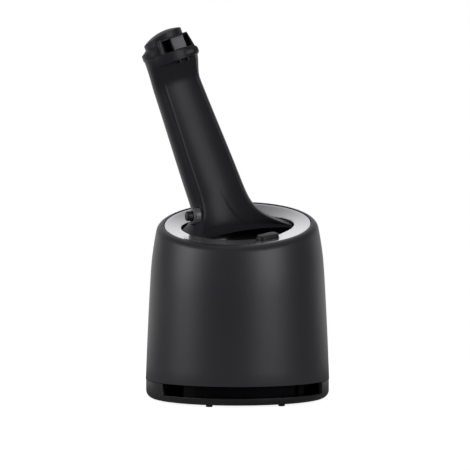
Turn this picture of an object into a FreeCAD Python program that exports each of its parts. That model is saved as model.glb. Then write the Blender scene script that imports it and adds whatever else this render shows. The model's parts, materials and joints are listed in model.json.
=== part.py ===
"""Shaver cleaning station: a leaning tower over an oval tub, on a drum that lifts off its cartridge base.

Millimetres. The origin is on the table under the drum's axis, +Z is up and the front faces -Y.
"""
import FreeCAD, Part
import math
import os
import Sketcher
from FreeCAD import Placement, Rotation, Vector

doc = FreeCAD.newDocument("ShaverCleaningStation")
sheet = doc.addObject("Spreadsheet::Sheet", "Sizes")

# Each size: its name, its value or its rule in the names above it, and what it is.
SIZES = [
    # drum
    ("drumRadius", 62.0, "outer radius at the shell's lower edge"),
    ("drumTopRadius", 55.2, "outer radius where the side would meet the crown height"),
    ("sideBulge", 3000.0, "radius of the side's faint outward bow"),
    ("shellWall", 2.0, "wall of the outer shell"),
    ("shellBottom", 14.0, "height of the shell's lower edge"),
    ("shoulderRadius", 5.5, "rounding of the slanted shoulder"),
    ("deckHeight", 119.0, "height of the slanted deck at the drum's axis"),
    ("crownRise", 17.0, "how far the drum's side is drawn above that before the deck cuts it"),
    ("crownHeight", "=deckHeight + crownRise", "height of the drum's side before the deck cuts it"),
    ("deckTilt", 14.0, "fall of the deck to the front, degrees"),
    ("deckRoll", 2.5, "fall of the deck to the left, degrees"),
    # ring and tub
    ("ringRadius", 49.5, "outer radius of the trim ring"),
    ("ringStep", 0.3, "drop of the ring's outer edge below the deck"),
    ("ringDish", 3.3, "further drop of the ring towards the oval"),
    ("ringEdge", 2.5, "thickness of the ring where it lies on its ledge"),
    ("ringThickness", 1.5, "thickness of the dished part"),
    ("ringThinning", 0.5, "thinning of the dished part towards the oval"),
    ("ringLap", 1.0, "how far the ring's thick edge reaches past its ledge"),
    ("ringSpare", 2.0, "how far the ring's disc is drawn into the oval before the oval is cut"),
    ("ledgeRadius", 44.0, "inner radius of the ledge that carries the ring"),
    ("ledgeThickness", 2.3, "thickness of that ledge"),
    ("ovalHalfWidth", 38.4, "half width of the oval opening"),
    ("ovalHalfDepth", 27.6, "half depth of the oval opening"),
    ("tubWall", 2.2, "wall of the tub"),
    ("tubFlangeRadius", 45.5, "outer radius of the tub's flange"),
    ("tubFlange", 2.0, "thickness of the tub's flange"),
    ("tubStep", 3.0, "width of the step that carries the tower's foot"),
    ("tubStepDepth", 12.0, "depth of that step under the deck"),
    ("tubDepth", 29.0, "depth of the tub's floor under the deck"),
    ("tubTaper", 5.0, "narrowing of the tub towards its floor, on each side"),
    ("drainRadius", 2.5, "bore of the drain"),
    ("drainWall", 1.5, "wall of the drain nozzle"),
    ("drainForward", 4.0, "the drain's place in front of the tub's centre"),
    # tower
    ("towerFootX", -6.2, "where the tower's axis crosses its foot height, left of the drum's axis"),
    ("towerFootY", 14.0, "the same, behind the drum's axis"),
    ("towerFootRise", 0.5, "the foot height above the deck at the drum's axis"),
    ("towerFootZ", "=deckHeight + towerFootRise", "the foot height"),
    ("leanLeft", 19.6, "lean of the tower to the left, degrees"),
    ("leanBack", 4.0, "lean of the tower to the back, degrees"),
    ("faceTurn", 15.0, "turn of the trough to the right, degrees"),
    ("towerWall", 2.0, "wall of the tower's shells"),
    ("towerFootHalf", 19.4, "half width of the tower just above its flare"),
    ("towerMidHalf", 18.0, "half width of the tower at its middle"),
    ("towerNeckHalf", 16.6, "half width of the tower under its head"),
    ("towerTopHalf", 16.0, "half width of the tower's top"),
    ("towerDepthShare", 0.96, "depth of the tower's section over its width"),
    ("flareTop", 24.0, "where the flare of the foot ends, along the axis"),
    ("flareRate", 5.0, "how quickly the flare dies out"),
    ("towerMid", 61.0, "place of the middle section along the axis"),
    ("towerNeck", 95.0, "place of the neck section along the axis"),
    ("towerTop", 124.8, "top of the tower's shells along the axis"),
    ("footRim", 0.5, "straight rim of the foot above the deck"),
    ("footUnderTilt", 5.5, "slant of the foot's underside, degrees"),
    ("footClearance", 0.2, "clearance between the foot and the oval"),
    ("troughHalfWidth", 22.0, "half width of the shaver's space"),
    ("troughHalfDepth", 14.0, "half depth of the shaver's space"),
    ("troughFloor", 8.2, "the trough's floor in front of the tower's axis"),
    ("headHeight", 11.8, "height of the tower's top over the trough"),
    ("troughTop", "=towerTop - headHeight", "upper end of the trough along the axis"),
    ("scoopHalfWidth", 33.0, "half width of the scoop that opens the foot over the tub"),
    ("scoopHalfDepth", 24.0, "half depth of that scoop"),
    ("scoopRight", 12.0, "the scoop's place, right of the tub's centre"),
    ("scoopFront", 16.0, "the scoop's place, in front of the tub's centre"),
    # head
    ("noseHalfWidth", 16.4, "half width of the head's nose, over the trough"),
    ("noseReach", 21.0, "reach of the nose in front of the axis"),
    ("noseCorner", 6.0, "corner radius of the nose"),
    ("noseHeight", 6.5, "height of the nose"),
    ("hoodHalfWidth", 12.0, "half width of the hood over the nose"),
    ("hoodRight", 3.0, "the hood's place, right of the middle"),
    ("hoodReach", 18.8, "reach of the hood in front of the axis"),
    ("hoodNarrowing", 1.8, "how far the hood's front and sides draw in towards its top"),
    ("hoodCorner", 3.0, "corner radius of the hood"),
    ("hoodRise", 5.1, "how far the hood rises over the tower's top"),
    ("recessHalfWidth", 9.2, "half width of the contact recess"),
    ("recessDepth", 3.8, "depth of the contact recess"),
    ("recessHeight", 8.8, "height of the contact recess"),
    ("recessFloor", 0.7, "height of the recess's floor over the nose"),
    ("blockHalfWidth", 5.0, "half width of the contact block"),
    ("blockHeight", 8.4, "height of the contact block"),
    ("blockDepth", 3.0, "depth of the contact block"),
    ("blockRight", 5.2, "the contact block's place, right of the middle"),
    ("pinRadius", 1.0, "radius of a charging contact pin"),
    ("pinSpread", 2.9, "half the distance between the contact pins"),
    ("pinLength", 12.5, "length of a contact pin"),
    ("pinProud", 1.7, "how far a contact pin stands out under the nose"),
    ("pinTravel", 1.5, "travel of a contact pin"),
    ("pinFit", 0.1, "radial clearance of a contact pin"),
    ("pinRoom", 1.0, "room left behind a pressed contact pin"),
    ("capFootRadius", 15.6, "radius of the cap where it sits on the tower"),
    ("capRadius", 13.9, "radius of the cap's side"),
    ("capRight", 1.9, "the cap's place, right of the tower's axis"),
    ("capShoulder", 2.7, "height of the cap's sloping shoulder"),
    ("capHeight", 14.0, "height that the cap's side is drawn to before the dome ends it"),
    ("capDomeRadius", 30.0, "radius of the cap's dome"),
    ("capDomeRight", 6.5, "the middle of the dome, right of the tower's axis"),
    ("capDomeFront", 2.0, "the middle of the dome, in front of the axis"),
    ("capDomeLow", 18.4, "the middle of the dome, under the tower's top"),
    # buttons
    ("startLength", 16.0, "length of the start button"),
    ("startWidth", 8.0, "width of the start button"),
    ("startCorner", 3.4, "corner radius of the start button"),
    ("startProud", 2.4, "height of the start button above the deck"),
    ("startTravel", 1.2, "travel of the start button"),
    ("startX", 16.5, "place of the start button, right of the tub's centre"),
    ("startY", -31.5, "place of the start button, in front of the tub's centre"),
    ("startTurn", 30.0, "turn of the start button along the oval, degrees"),
    ("buttonGap", 0.35, "gap round a button"),
    ("quickRadius", 3.3, "radius of the quick-clean button"),
    ("quickProud", 4.2, "how far it stands out of its bezel"),
    ("quickTravel", 1.5, "travel of the quick-clean button"),
    ("bezelHalfHeight", 5.6, "half height of its bezel"),
    ("bezelHalfWidth", 4.6, "half width of its bezel"),
    ("bezelThickness", 1.2, "how far its bezel stands out of the foot's flank"),
    ("bezelDepth", 4.0, "how far its bezel reaches into the flank"),
    ("bezelBoreDepth", 2.2, "how far the bezel's bore reaches into the flank"),
    ("quickHeight", 5.6, "place of the quick-clean button above the deck"),
    ("quickReach", 29.6, "distance of the bezel's back from the tub's centre line"),
    ("quickBack", 2.0, "place of the quick-clean button behind the tub's centre line"),
    ("quickAzimuth", 195.0, "direction in which the quick-clean button points, degrees"),
    # base
    ("footHeight", 1.2, "height of the rubber feet"),
    ("footRadius", 2.2, "radius of a rubber foot"),
    ("footX", 24.0, "place of the feet beside the axis"),
    ("baseInset", 0.2, "how far the base's rim lies inside the shell's lower edge"),
    ("baseRadius", "=drumRadius - baseInset", "outer radius of the base"),
    ("footInset", 11.8, "distance of the feet from the base's front and rear"),
    ("footY", "=baseRadius - footInset", "place of the feet before and behind the axis"),
    ("baseBevel", 3.0, "bevel of the base's lower edge"),
    ("baseFloor", 2.2, "thickness of the base's floor"),
    ("baseWall", 2.4, "wall of the base's rim"),
    ("baseSill", 6.0, "height of the sill under the front slot"),
    ("slotAngle", 120.0, "angle of the front slot round the axis, degrees"),
    ("partGap", 0.3, "gap between the base's rim and the shell"),
    ("skirtInset", 6.3, "distance of the rear guide skirt from the base's side"),
    ("skirtRadius", "=baseRadius - skirtInset", "outer radius of the rear guide skirt"),
    ("skirtWall", 2.0, "wall of the guide skirt"),
    ("skirtTop", 46.0, "top of the guide skirt"),
    ("skirtAngle", 130.0, "angle of the guide skirt round the axis, degrees"),
    ("postRadius", 3.0, "radius of a guide post"),
    ("postInset", 13.8, "distance of the guide posts from the base's sides"),
    ("postX", "=baseRadius - postInset", "place of the guide posts beside the axis"),
    ("postY", 8.0, "place of the guide posts behind the axis"),
    ("postTop", 88.0, "top of the guide posts"),
    ("postFit", 0.08, "radial clearance of a guide post in its bore"),
    ("springRadius", 4.5, "mean radius of a lift spring"),
    ("springWire", 0.5, "wire radius of a lift spring"),
    ("springPitch", 5.2, "pitch of a lift spring"),
    ("springSlack", 0.2, "slack of a lift spring between its seats"),
    # cartridge
    ("cartridgeGap", 2.8, "gap between the cartridge and the base's rim"),
    ("cartridgeRadius", "=baseRadius - baseWall - cartridgeGap", "front radius of the cartridge"),
    ("cartridgeSideGap", 8.0, "distance of the cartridge's sides from the guide posts' axes"),
    ("cartridgeHalfWidth", "=postX - cartridgeSideGap", "half width of the cartridge"),
    ("cartridgeBack", 22.0, "rear face of the cartridge behind the axis"),
    ("cartridgeTop", 40.0, "top of the cartridge's body"),
    ("cartridgeWall", 1.6, "wall of the cartridge"),
    ("lidThickness", 2.5, "thickness of the cartridge's lid"),
    ("filterRadius", 13.0, "radius of the filter"),
    ("filterCoreRadius", 7.15, "radius of the hollow in the filter"),
    ("nozzleEntry", 1.5, "how far the drain nozzle enters the lid"),
    ("nozzleGap", 0.8, "clearance of the nozzle in the lid"),
    ("sealWire", 0.7, "section radius of the drain seal"),
    # works
    ("frameBottom", 50.0, "underside of the inner frame"),
    ("frameThickness", 3.0, "thickness of the inner frame"),
    ("frameGap", 0.2, "gap between the inner frame and the shell"),
    ("bossRadius", 4.0, "radius of the shell's screw bosses"),
    ("bossInset", 12.0, "distance of the bosses from the drum's side"),
    ("bossPlace", "=drumRadius - bossInset", "distance of the bosses from the axis"),
    ("screwRadius", 1.5, "radius of a screw's shank"),
    ("screwHead", 3.2, "radius of a screw's head"),
    ("screwHeadHeight", 1.8, "height of a screw's head"),
    ("screwLength", 11.0, "length of a screw's shank"),
    ("screwSpare", 0.8, "depth of a screw's bore past its tip"),
    ("moveGap", 0.3, "gap left between pieces that move past each other"),
    ("cutBeyond", 5.0, "how far a cutting tool reaches past what it cuts"),
    ("tiny", 0.01, "tolerance for telling whether an edge lies level"),
    ("pumpX", -24.0, "place of the pump"),
    ("pumpY", 16.0, "place of the pump"),
    ("pumpRadius", 12.0, "radius of the pump's housing"),
    ("pumpHeight", 9.0, "height of the pump's housing"),
    ("pumpWall", 1.6, "wall of the pump's housing"),
    ("impellerGap", 0.6, "gap round the impeller"),
    ("motorRadius", 9.5, "radius of the pump's motor"),
    ("motorRoom", 37.0, "height kept free between the pump's motor and the deck, for the tub"),
    ("motorHeight", "=deckHeight - frameBottom - frameThickness - pumpHeight - motorRoom",
     "height of the pump's motor"),
    ("shaftRadius", 1.2, "radius of the pump's shaft"),
    ("shaftFit", 0.05, "radial clearance of a shaft"),
    ("shaftShort", 1.0, "how far the shaft's bore ends under the motor's middle"),
    ("shaftEntry", "=motorHeight / 2 - shaftShort", "depth of the shaft's bore in the motor"),
    ("impellerHubRadius", 3.6, "radius of the impeller's hub"),
    ("tubeRadius", 2.4, "outer radius of the wash tube"),
    ("tubeBore", 1.44, "inner radius of the wash tube"),
    ("tubeBend", 6.0, "bend radius of the wash tube"),
    ("tubeLap", 0.8, "how far the tube is drawn into the pump's side before it is cut there"),
    ("tubeRun", 1.5, "straight run of the tube beside the pump"),
    ("fanX", 24.0, "place of the fan"),
    ("fanY", 17.0, "place of the fan"),
    ("fanRadius", 13.5, "outer radius of the fan's housing"),
    ("fanHeight", 9.0, "height of the fan's housing"),
    ("fanWall", 1.2, "wall of the fan's housing"),
    ("fanHub", 5.0, "radius of the fan's hub"),
    ("fanGap", 0.6, "gap between the blades and the housing"),
    ("fanRoom", 0.5, "gap between the rotor and the top of the housing"),
    ("fanArms", 3.0, "number of arms that carry the fan's motor"),
    ("fanArmTurn", 30.0, "turn of the first of those arms, degrees"),
    ("fanBlades", 7.0, "number of blades"),
    ("bladeThickness", 1.0, "thickness of a blade"),
    ("bladeTilt", 35.0, "tilt of a blade, degrees"),
    ("fanMotorRadius", 4.0, "radius of the fan's motor"),
    ("fanMotorHeight", 2.5, "height of the fan's motor"),
    ("fanPinLength", 3.0, "length of the pin that the fan turns on"),
    ("vanes", 6.0, "number of vanes of the impeller"),
    ("boardWidth", 52.0, "width of the circuit board"),
    ("boardHeight", 26.0, "height of the circuit board"),
    ("boardThickness", 1.6, "thickness of the circuit board"),
    ("boardForward", 34.0, "the circuit board's place in front of the axis"),
    ("socketHalfWidth", 8.0, "half width of the power socket"),
    ("socketTop", 72.0, "top of the power socket"),
    ("socketDepth", 14.0, "depth of the power socket"),
    ("socketInset", 3.8, "how far the power socket's outer face lies inside the drum's lower radius"),
    ("socketFace", "=drumRadius - socketInset", "outer face of the power socket behind the axis"),
    ("socketMouthWidth", 9.0, "width of the socket's mouth"),
    ("socketMouthHeight", 6.6, "height of the socket's mouth"),
    ("socketMouthDepth", 10.0, "depth of the socket's mouth"),
    ("socketMouthZ", 65.0, "height of the mouth's middle"),
    ("socketPinRadius", 0.9, "radius of a socket pin"),
    ("socketPinSpread", 1.9, "half the distance between the socket pins"),
    ("socketPinLength", 5.5, "length of a socket pin"),
    ("socketGap", 0.2, "gap between the socket and the shell"),
    # latch
    ("liftHalfWidth", 9.0, "half width of the lift button"),
    ("liftHalfHeight", 5.0, "half height of the lift button"),
    ("liftZ", 33.0, "height of the lift button's middle"),
    ("liftInset", 0.2, "how far the lift button's face lies inside the drum's lower radius"),
    ("liftFace", "=drumRadius - liftInset", "outer face of the lift button behind the axis"),
    ("liftDepth", 5.5, "depth of the lift button"),
    ("liftTravel", 3.0, "travel of the lift button"),
    ("hookHalfWidth", 4.0, "half width of the latch hook"),
    ("hookThickness", 2.2, "thickness of the latch hook"),
    ("hookReach", 18.8, "reach of the latch hook behind the lift button's face"),
    ("hookTip", "=liftFace - hookReach", "inner face of the latch hook behind the axis"),
    ("hookDrop", 8.0, "height of the hook's nose"),
    ("catchLip", 4.2, "reach of the catch's lip"),
    ("catchThickness", 2.0, "thickness of the catch"),
    ("catchGap", 0.4, "gap between the hook and the catch"),
]

# Heights of the sections of the tower's foot, as shares of the flare from the deck to its top.
FLARE_STEPS = (0, 0.07, 0.16, 0.3, 0.5, 0.75, 1)
# The scoop's flare goes a little past both ends, so that it cuts through them.
SCOOP_STEPS = (-0.05, *FLARE_STEPS, 1.1)

# Parts on the circuit board, in shares of its width: name, length, depth, height, place along the
# board and place above its lower edge.
BOARD_BLOCKS = [("chipLarge", 0.17, 0.03, 0.17, -0.27, 0.15),
                ("chipSmall", 0.10, 0.03, 0.08, 0.04, 0.10),
                ("transformer", 0.27, 0.21, 0.25, 0.17, 0.12)]
# Capacitors, in the same shares: name, radius, length, place along the board, place above its edge.
BOARD_CANS = [("capacitorLarge", 0.06, 0.17, -0.38, 0.37),
              ("capacitorSmall", 0.05, 0.13, -0.04, 0.37)]

SIDES = {-1: "Left", 1: "Right"}

for row, (alias, amount, note) in enumerate(SIZES, start=1):
    sheet.set(f"A{row}", alias)
    sheet.set(f"B{row}", str(amount))
    sheet.set(f"C{row}", note)
    sheet.setAlias(f"B{row}", alias)
doc.recompute()
size = {alias: float(sheet.get(alias)) for alias, amount, note in SIZES}

pieces = {}


def value(expression):
    """Number that an expression in the sheet's names gives, such as 'drumRadius - shellWall'."""
    return float(sheet.evalExpression(expression))


def bind(item, prop, expression):
    """Binds a property to an expression in the sheet's names."""
    item.setExpression(prop, scoped(expression))


def scoped(expression):
    """The same expression with each name of the sheet written as Sizes.name."""
    words = []
    word = ""
    for letter in expression + " ":
        if letter.isalnum():
            word += letter
            continue
        words.append(f"Sizes.{word}" if word in size else word)
        words.append(letter)
        word = ""
    return "".join(words).strip()


def keep(label, item):
    """Names a finished sub-part: the label is the node's and the file's name."""
    item.Label = label
    pieces[label] = item
    return item


# --- frames -------------------------------------------------------------------------------------

deckTurn = Rotation(Vector(0, 1, 0), -size["deckRoll"]) * Rotation(Vector(1, 0, 0), size["deckTilt"])
deckFrame = Placement(Vector(0, 0, size["deckHeight"]), deckTurn)
towerLean = Rotation(Vector(0, 1, 0), -size["leanLeft"]) * Rotation(Vector(1, 0, 0), -size["leanBack"])
towerTurn = towerLean * Rotation(Vector(0, 0, 1), size["faceTurn"])
towerFrame = Placement(Vector(size["towerFootX"], size["towerFootY"], size["towerFootZ"]), towerTurn)


def at(x=0.0, y=0.0, z=0.0, frame=None, turn=None):
    """Placement at a point of a frame, turned within it."""
    local = Placement(Vector(x, y, z), turn or Rotation())
    return frame.multiply(local) if frame else local


# --- primitives bound to the sheet ----------------------------------------------------------------


def cylinder(name, radius, height, placement, angle=None):
    item = doc.addObject("Part::Cylinder", name)
    bind(item, "Radius", radius)
    bind(item, "Height", height)
    if angle:
        bind(item, "Angle", angle)
    item.Placement = placement
    return item


def box(name, length, width, height, placement):
    item = doc.addObject("Part::Box", name)
    bind(item, "Length", length)
    bind(item, "Width", width)
    bind(item, "Height", height)
    item.Placement = placement
    return item


def centredBox(name, length, width, height, middle, frame=None):
    """A box whose middle is given, in a frame."""
    corner = middle - Vector(value(length), value(width), value(height)) / 2
    return box(name, length, width, height, at(corner.x, corner.y, corner.z, frame))


def ellipse(name, halfWidth, halfDepth, placement):
    """An ellipse with its long axis along X where it is wider than deep, else turned a quarter."""
    item = doc.addObject("Part::Ellipse", name)
    wide = value(halfWidth) >= value(halfDepth)
    bind(item, "MajorRadius", halfWidth if wide else halfDepth)
    bind(item, "MinorRadius", halfDepth if wide else halfWidth)
    quarter = Placement(Vector(), Rotation(Vector(0, 0, 1), 0 if wide else 90))
    item.Placement = placement.multiply(quarter)
    return item


def loft(name, sections, ruled=False):
    item = doc.addObject("Part::Loft", name)
    item.Sections = sections
    item.Solid = True
    item.Ruled = ruled
    return item


def ovalBar(name, halfWidth, halfDepth, placement, start, end):
    """Straight elliptic bar between two heights of a frame."""
    item = doc.addObject("Part::Extrusion", name)
    item.Base = ellipse(name + "Outline", halfWidth, halfDepth, at(z=start, frame=placement))
    item.DirMode = "Custom"
    item.Dir = placement.Rotation.multVec(Vector(0, 0, 1))
    item.LengthFwd = end - start
    item.Solid = True
    return item


def cut(name, base, tool):
    item = doc.addObject("Part::Cut", name)
    item.Base = base
    item.Tool = tool
    return item


def cutAll(name, base, tools):
    """Takes each tool from the base, one after the other."""
    item = base
    for number, tool in enumerate(tools, start=1):
        item = cut(f"{name}Cut{number}", item, tool)
    return item


def fuse(name, items):
    item = doc.addObject("Part::MultiFuse", name)
    item.Shapes = items
    return item


def common(name, items):
    item = doc.addObject("Part::MultiCommon", name)
    item.Shapes = items
    return item


def group(name, items):
    """Several separate solids in one node."""
    item = doc.addObject("Part::Compound", name)
    item.Links = items
    return item


def originPlane(body, role):
    return [plane for plane in body.Origin.OriginFeatures if plane.Role == role][0]


def isUpright(edge, frame):
    """Whether an edge of a bar runs along a frame's Z axis rather than level."""
    ends = [frame.inverse().multVec(vertex.Point) for vertex in edge.Vertexes]
    return abs(ends[0].z - ends[1].z) > size["tiny"]


def profileSketch(body, name, points, arcs=None):
    """Closed outline on the body's XZ plane. Points are pairs of expressions for radius and height,
    and arcs gives the radius of an arc, bulging outwards, for the run that starts at a point."""
    arcs = arcs or {}
    sketch = body.newObject("Sketcher::SketchObject", name)
    sketch.AttachmentSupport = [(originPlane(body, "XZ_Plane"), "")]
    sketch.MapMode = "FlatFace"
    places = [Vector(value(r), value(z), 0) for r, z in points]
    count = len(places)
    for i, start in enumerate(places):
        end = places[(i + 1) % count]
        if i in arcs:
            sketch.addGeometry(arcBetween(start, end, value(arcs[i])), False)
        else:
            sketch.addGeometry(Part.LineSegment(start, end), False)
    for i in range(count):
        sketch.addConstraint(Sketcher.Constraint("Coincident", i, 2, (i + 1) % count, 1))
    for i, (r, z) in enumerate(points):
        pinPoint(sketch, i, places[i], r, z)
    for i, radius in arcs.items():
        index = sketch.addConstraint(Sketcher.Constraint("Radius", i, value(radius)))
        sketch.setExpression(f"Constraints[{index}]", scoped(radius))
    return sketch


def arcBetween(start, end, radius):
    """Arc that turns left from start to end, so it bulges to the right of that run."""
    chord = end - start
    middle = (start + end) * 0.5
    left = Vector(-chord.y, chord.x, 0).normalize()
    centre = middle + left * math.sqrt(radius ** 2 - (chord.Length / 2) ** 2)
    first = math.atan2(start.y - centre.y, start.x - centre.x)
    last = math.atan2(end.y - centre.y, end.x - centre.x)
    return Part.ArcOfCircle(Part.Circle(centre, Vector(0, 0, 1), radius), first, last)


def pinPoint(sketch, run, place, r, z):
    """Holds a run's first point at its radius and height, or on an axis where one of them is zero."""
    if r == "0":
        sketch.addConstraint(Sketcher.Constraint("PointOnObject", run, 1, -2))
    else:
        index = sketch.addConstraint(Sketcher.Constraint("DistanceX", -1, 1, run, 1, place.x))
        sketch.setExpression(f"Constraints[{index}]", scoped(r))
    if z == "0":
        sketch.addConstraint(Sketcher.Constraint("PointOnObject", run, 1, -1))
    else:
        index = sketch.addConstraint(Sketcher.Constraint("DistanceY", -1, 1, run, 1, place.y))
        sketch.setExpression(f"Constraints[{index}]", scoped(z))


def turned(name, points, arcs=None, placement=None):
    """A body made by one full revolution of an outline about its own Z axis."""
    body = doc.addObject("PartDesign::Body", name)
    sketch = profileSketch(body, name + "Outline", points, arcs)
    feature = body.newObject("PartDesign::Revolution", name + "Turn")
    feature.Profile = sketch
    feature.ReferenceAxis = (sketch, ["V_Axis"])
    feature.Angle = 360.0
    body.Tip = feature
    if placement:
        body.Placement = placement
    return body


def rounded(name, base, radius, chosen):
    """Rounds the edges of a finished solid that a test picks out."""
    doc.recompute()
    item = doc.addObject("Part::Fillet", name)
    item.Base = base
    picked = [i for i, edge in enumerate(base.Shape.Edges, start=1) if chosen(edge)]
    item.Edges = [(i, radius, radius) for i in picked]
    return item


# --- outer shell ----------------------------------------------------------------------------------

ledgeTop = -size["ringEdge"] - size["ringStep"]
ledgeLow = ledgeTop - size["ledgeThickness"]
reach = 3 * size["drumRadius"]


def deckBar(name, radius, low, high):
    """Round bar square to the deck, between two heights of the deck's frame."""
    item = cylinder(name, radius, str(high - low), at(z=low, frame=deckFrame))
    return item


def aboveDeck(name, low):
    """Block that holds everything above a height of the deck's frame."""
    return box(name, "drumRadius * 3", "drumRadius * 3", "drumRadius * 3",
               at(-reach / 2, -reach / 2, low, deckFrame))


def innerRadiusAt(z):
    """Inner radius of the shell at a height, along the straight line of its side."""
    share = (z - size["shellBottom"]) / (size["crownHeight"] - size["shellBottom"])
    outer = size["drumRadius"] + (size["drumTopRadius"] - size["drumRadius"]) * share
    return outer - size["shellWall"]


def bossPlaces():
    return [Vector(size["bossPlace"] * math.cos(math.radians(a)),
                   size["bossPlace"] * math.sin(math.radians(a)), 0) for a in (45, 135, 225, 315)]


def makeOuterShell():
    drum = turned("drumSolid", [("0", "shellBottom"), ("drumRadius", "shellBottom"),
                                ("drumTopRadius", "crownHeight"), ("0", "crownHeight")],
                  {1: "sideBulge"})
    slanted = cut("drumSlanted", drum, aboveDeck("deckCutter", 0))

    def onDeck(edge):
        heights = [deckFrame.inverse().multVec(vertex.Point).z for vertex in edge.Vertexes]
        return min(heights) > -size["tiny"]

    crowned = rounded("drumCrowned", slanted, size["shoulderRadius"], onDeck)
    hollow = turned("drumHollow", [("0", "shellBottom - cutBeyond"),
                                   ("drumRadius - shellWall", "shellBottom - cutBeyond"),
                                   ("drumRadius - shellWall", "shellBottom"),
                                   ("drumTopRadius - shellWall", "crownHeight"), ("0", "crownHeight")],
                    {2: "sideBulge"})
    cavity = cut("drumCavity", hollow, aboveDeck("roofCutter", ledgeLow))
    seat = deckBar("ringSeat", "ringRadius + ringStep", ledgeTop, size["shoulderRadius"])
    hole = deckBar("deckHole", "ledgeRadius", -size["tubStepDepth"], size["shoulderRadius"])
    shell = cutAll("shellOpen", crowned, [cavity, seat, hole])
    bosses = []
    low = value("frameBottom + frameThickness")
    for number, place in enumerate(bossPlaces(), start=1):
        height = f"crownHeight - {low}"
        bosses.append(cylinder(f"bossBar{number}", "bossRadius", height, at(place.x, place.y, low)))
    inside = common("bossesInside", [group("bossBars", bosses), cavityCopy()])
    body = fuse("shellBossed", [shell, inside])
    tools = [socketBar("socketPort", size["socketGap"]),
             liftBar("liftPort", size["buttonGap"], 3 * size["liftDepth"])]
    for number, place in enumerate(bossPlaces(), start=1):
        depth = "screwHeadHeight + screwLength + screwSpare"
        tools.append(cylinder(f"bossBore{number}", "screwRadius", depth,
                              at(place.x, place.y, value("frameBottom"))))
    keep("outer_shell", cutAll("shell", body, tools))


def cavityCopy():
    """The same cavity again, reaching into the roof by a hair so that the bosses join it."""
    hollow = turned("bossLimit", [("0", "shellBottom"), ("drumRadius - shellWall", "shellBottom"),
                                  ("drumTopRadius - shellWall", "crownHeight"), ("0", "crownHeight")],
                    {1: "sideBulge"})
    return cut("bossSpace", hollow, aboveDeck("bossCutter", ledgeLow + size["ledgeThickness"] / 2))


def socketBar(name, gap):
    """The outline of the power socket, grown by a gap, through the shell's rear."""
    length = f"2 * (socketHalfWidth + {gap})"
    height = f"socketTop - frameBottom - frameThickness + 2 * {gap}"
    return box(name, length, "drumRadius", height,
               at(-size["socketHalfWidth"] - gap, value("socketFace - socketDepth"),
                  value("frameBottom + frameThickness") - gap))


def liftBar(name, gap, depth):
    """Oval bar along Y with the lift button's outline, grown by a gap."""
    turn = Rotation(Vector(1, 0, 0), 90)
    outer = at(0, size["liftFace"], size["liftZ"], turn=turn)
    wide, tall = f"liftHalfWidth + {gap}", f"liftHalfHeight + {gap}"
    return ovalBar(name, wide, tall, outer, -size["shoulderRadius"], depth)


# --- ring and tub -----------------------------------------------------------------------------------


def makeTrimRing():
    share = "ringDish / (ringRadius - ovalHalfDepth)"
    inner = f"ringDish - {share} * (ringRadius - ovalHalfDepth + ringSpare)"
    outline = [("ringRadius", "ringDish + ringThickness"),
               ("ringRadius", "ringDish + ringThickness - ringEdge"),
               ("ledgeRadius - ringLap", "ringDish + ringThickness - ringEdge"),
               ("ledgeRadius - ringLap", f"ringDish - {share} * (ringRadius - ledgeRadius + ringLap)"),
               ("ovalHalfDepth - ringSpare", f"{inner} + ringThinning"),
               ("ovalHalfDepth - ringSpare", f"{inner} + ringThickness")]
    ring = turned("ringSolid", outline, placement=at(
        z=-value("ringStep + ringDish + ringThickness"), frame=deckFrame))
    depth = size["tubStepDepth"]
    oval = ovalBar("ringOval", "ovalHalfWidth", "ovalHalfDepth", deckFrame, -depth, depth)
    keep("trim_ring", cutAll("ring", ring, [oval, startBar("startPort", size["buttonGap"], -depth, depth)]))


def tubOval(name, grow, low, high):
    return ovalBar(name, f"ovalHalfWidth + {grow}", f"ovalHalfDepth + {grow}", deckFrame, low, high)


def taperedTub(name, grow, low, high):
    """Lower part of the tub: an oval that narrows towards its floor."""
    width, depth = f"ovalHalfWidth - tubStep + {grow}", f"ovalHalfDepth - tubStep + {grow}"
    top = ellipse(name + "Top", width, depth, at(z=high, frame=deckFrame))
    floor = ellipse(name + "Floor", f"{width} - tubTaper", f"{depth} - tubTaper", at(z=low, frame=deckFrame))
    return loft(name, [floor, top], ruled=True)


tubTop = ledgeLow
stepZ = -size["tubStepDepth"]
floorZ = -size["tubDepth"]
drainPlace = deckFrame.multVec(Vector(0, -size["drainForward"], floorZ))


def makeTub():
    wall = size["tubWall"]
    flange = deckBar("tubFlangeDisc", "tubFlangeRadius", tubTop - size["tubFlange"], tubTop)
    upper = tubOval("tubUpper", "tubWall", stepZ - wall, tubTop)
    lower = taperedTub("tubLower", "tubWall", floorZ - wall, stepZ)
    outer = fuse("tubOuter", [flange, upper, lower])
    hollowUp = tubOval("tubHollowUp", "0", stepZ, size["cutBeyond"])
    hollowLow = taperedTub("tubHollowLow", "0", floorZ, stepZ + size["tiny"])
    bore = cylinder("tubDrainBore", "drainRadius", "2 * cutBeyond",
                    at(drainPlace.x, drainPlace.y, drainPlace.z - size["cutBeyond"]))
    keep("cleaning_tub", cutAll("tub", outer, [hollowUp, hollowLow, bore]))


def makeNozzle():
    low = value("cartridgeTop + lidThickness - nozzleEntry")
    height = drainPlace.z - low
    pipe = cylinder("nozzlePipe", "drainRadius + drainWall", str(height), at(drainPlace.x, drainPlace.y, low))
    bore = cylinder("nozzleBore", "drainRadius", f"{height} + 2 * cutBeyond",
                    at(drainPlace.x, drainPlace.y, low - size["cutBeyond"]))
    limit = taperedTub("nozzleLimit", "tubWall", floorZ - size["tubWall"], stepZ)
    keep("drain_nozzle", cutAll("nozzle", pipe, [bore, limit]))
    seal = doc.addObject("Part::Torus", "sealRing")
    bind(seal, "Radius1", "drainRadius + drainWall + sealWire")
    bind(seal, "Radius2", "sealWire")
    seal.Placement = at(drainPlace.x, drainPlace.y, value("cartridgeTop + lidThickness + sealWire + moveGap"))
    keep("drain_seal", seal)


# --- tower ------------------------------------------------------------------------------------------


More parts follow.
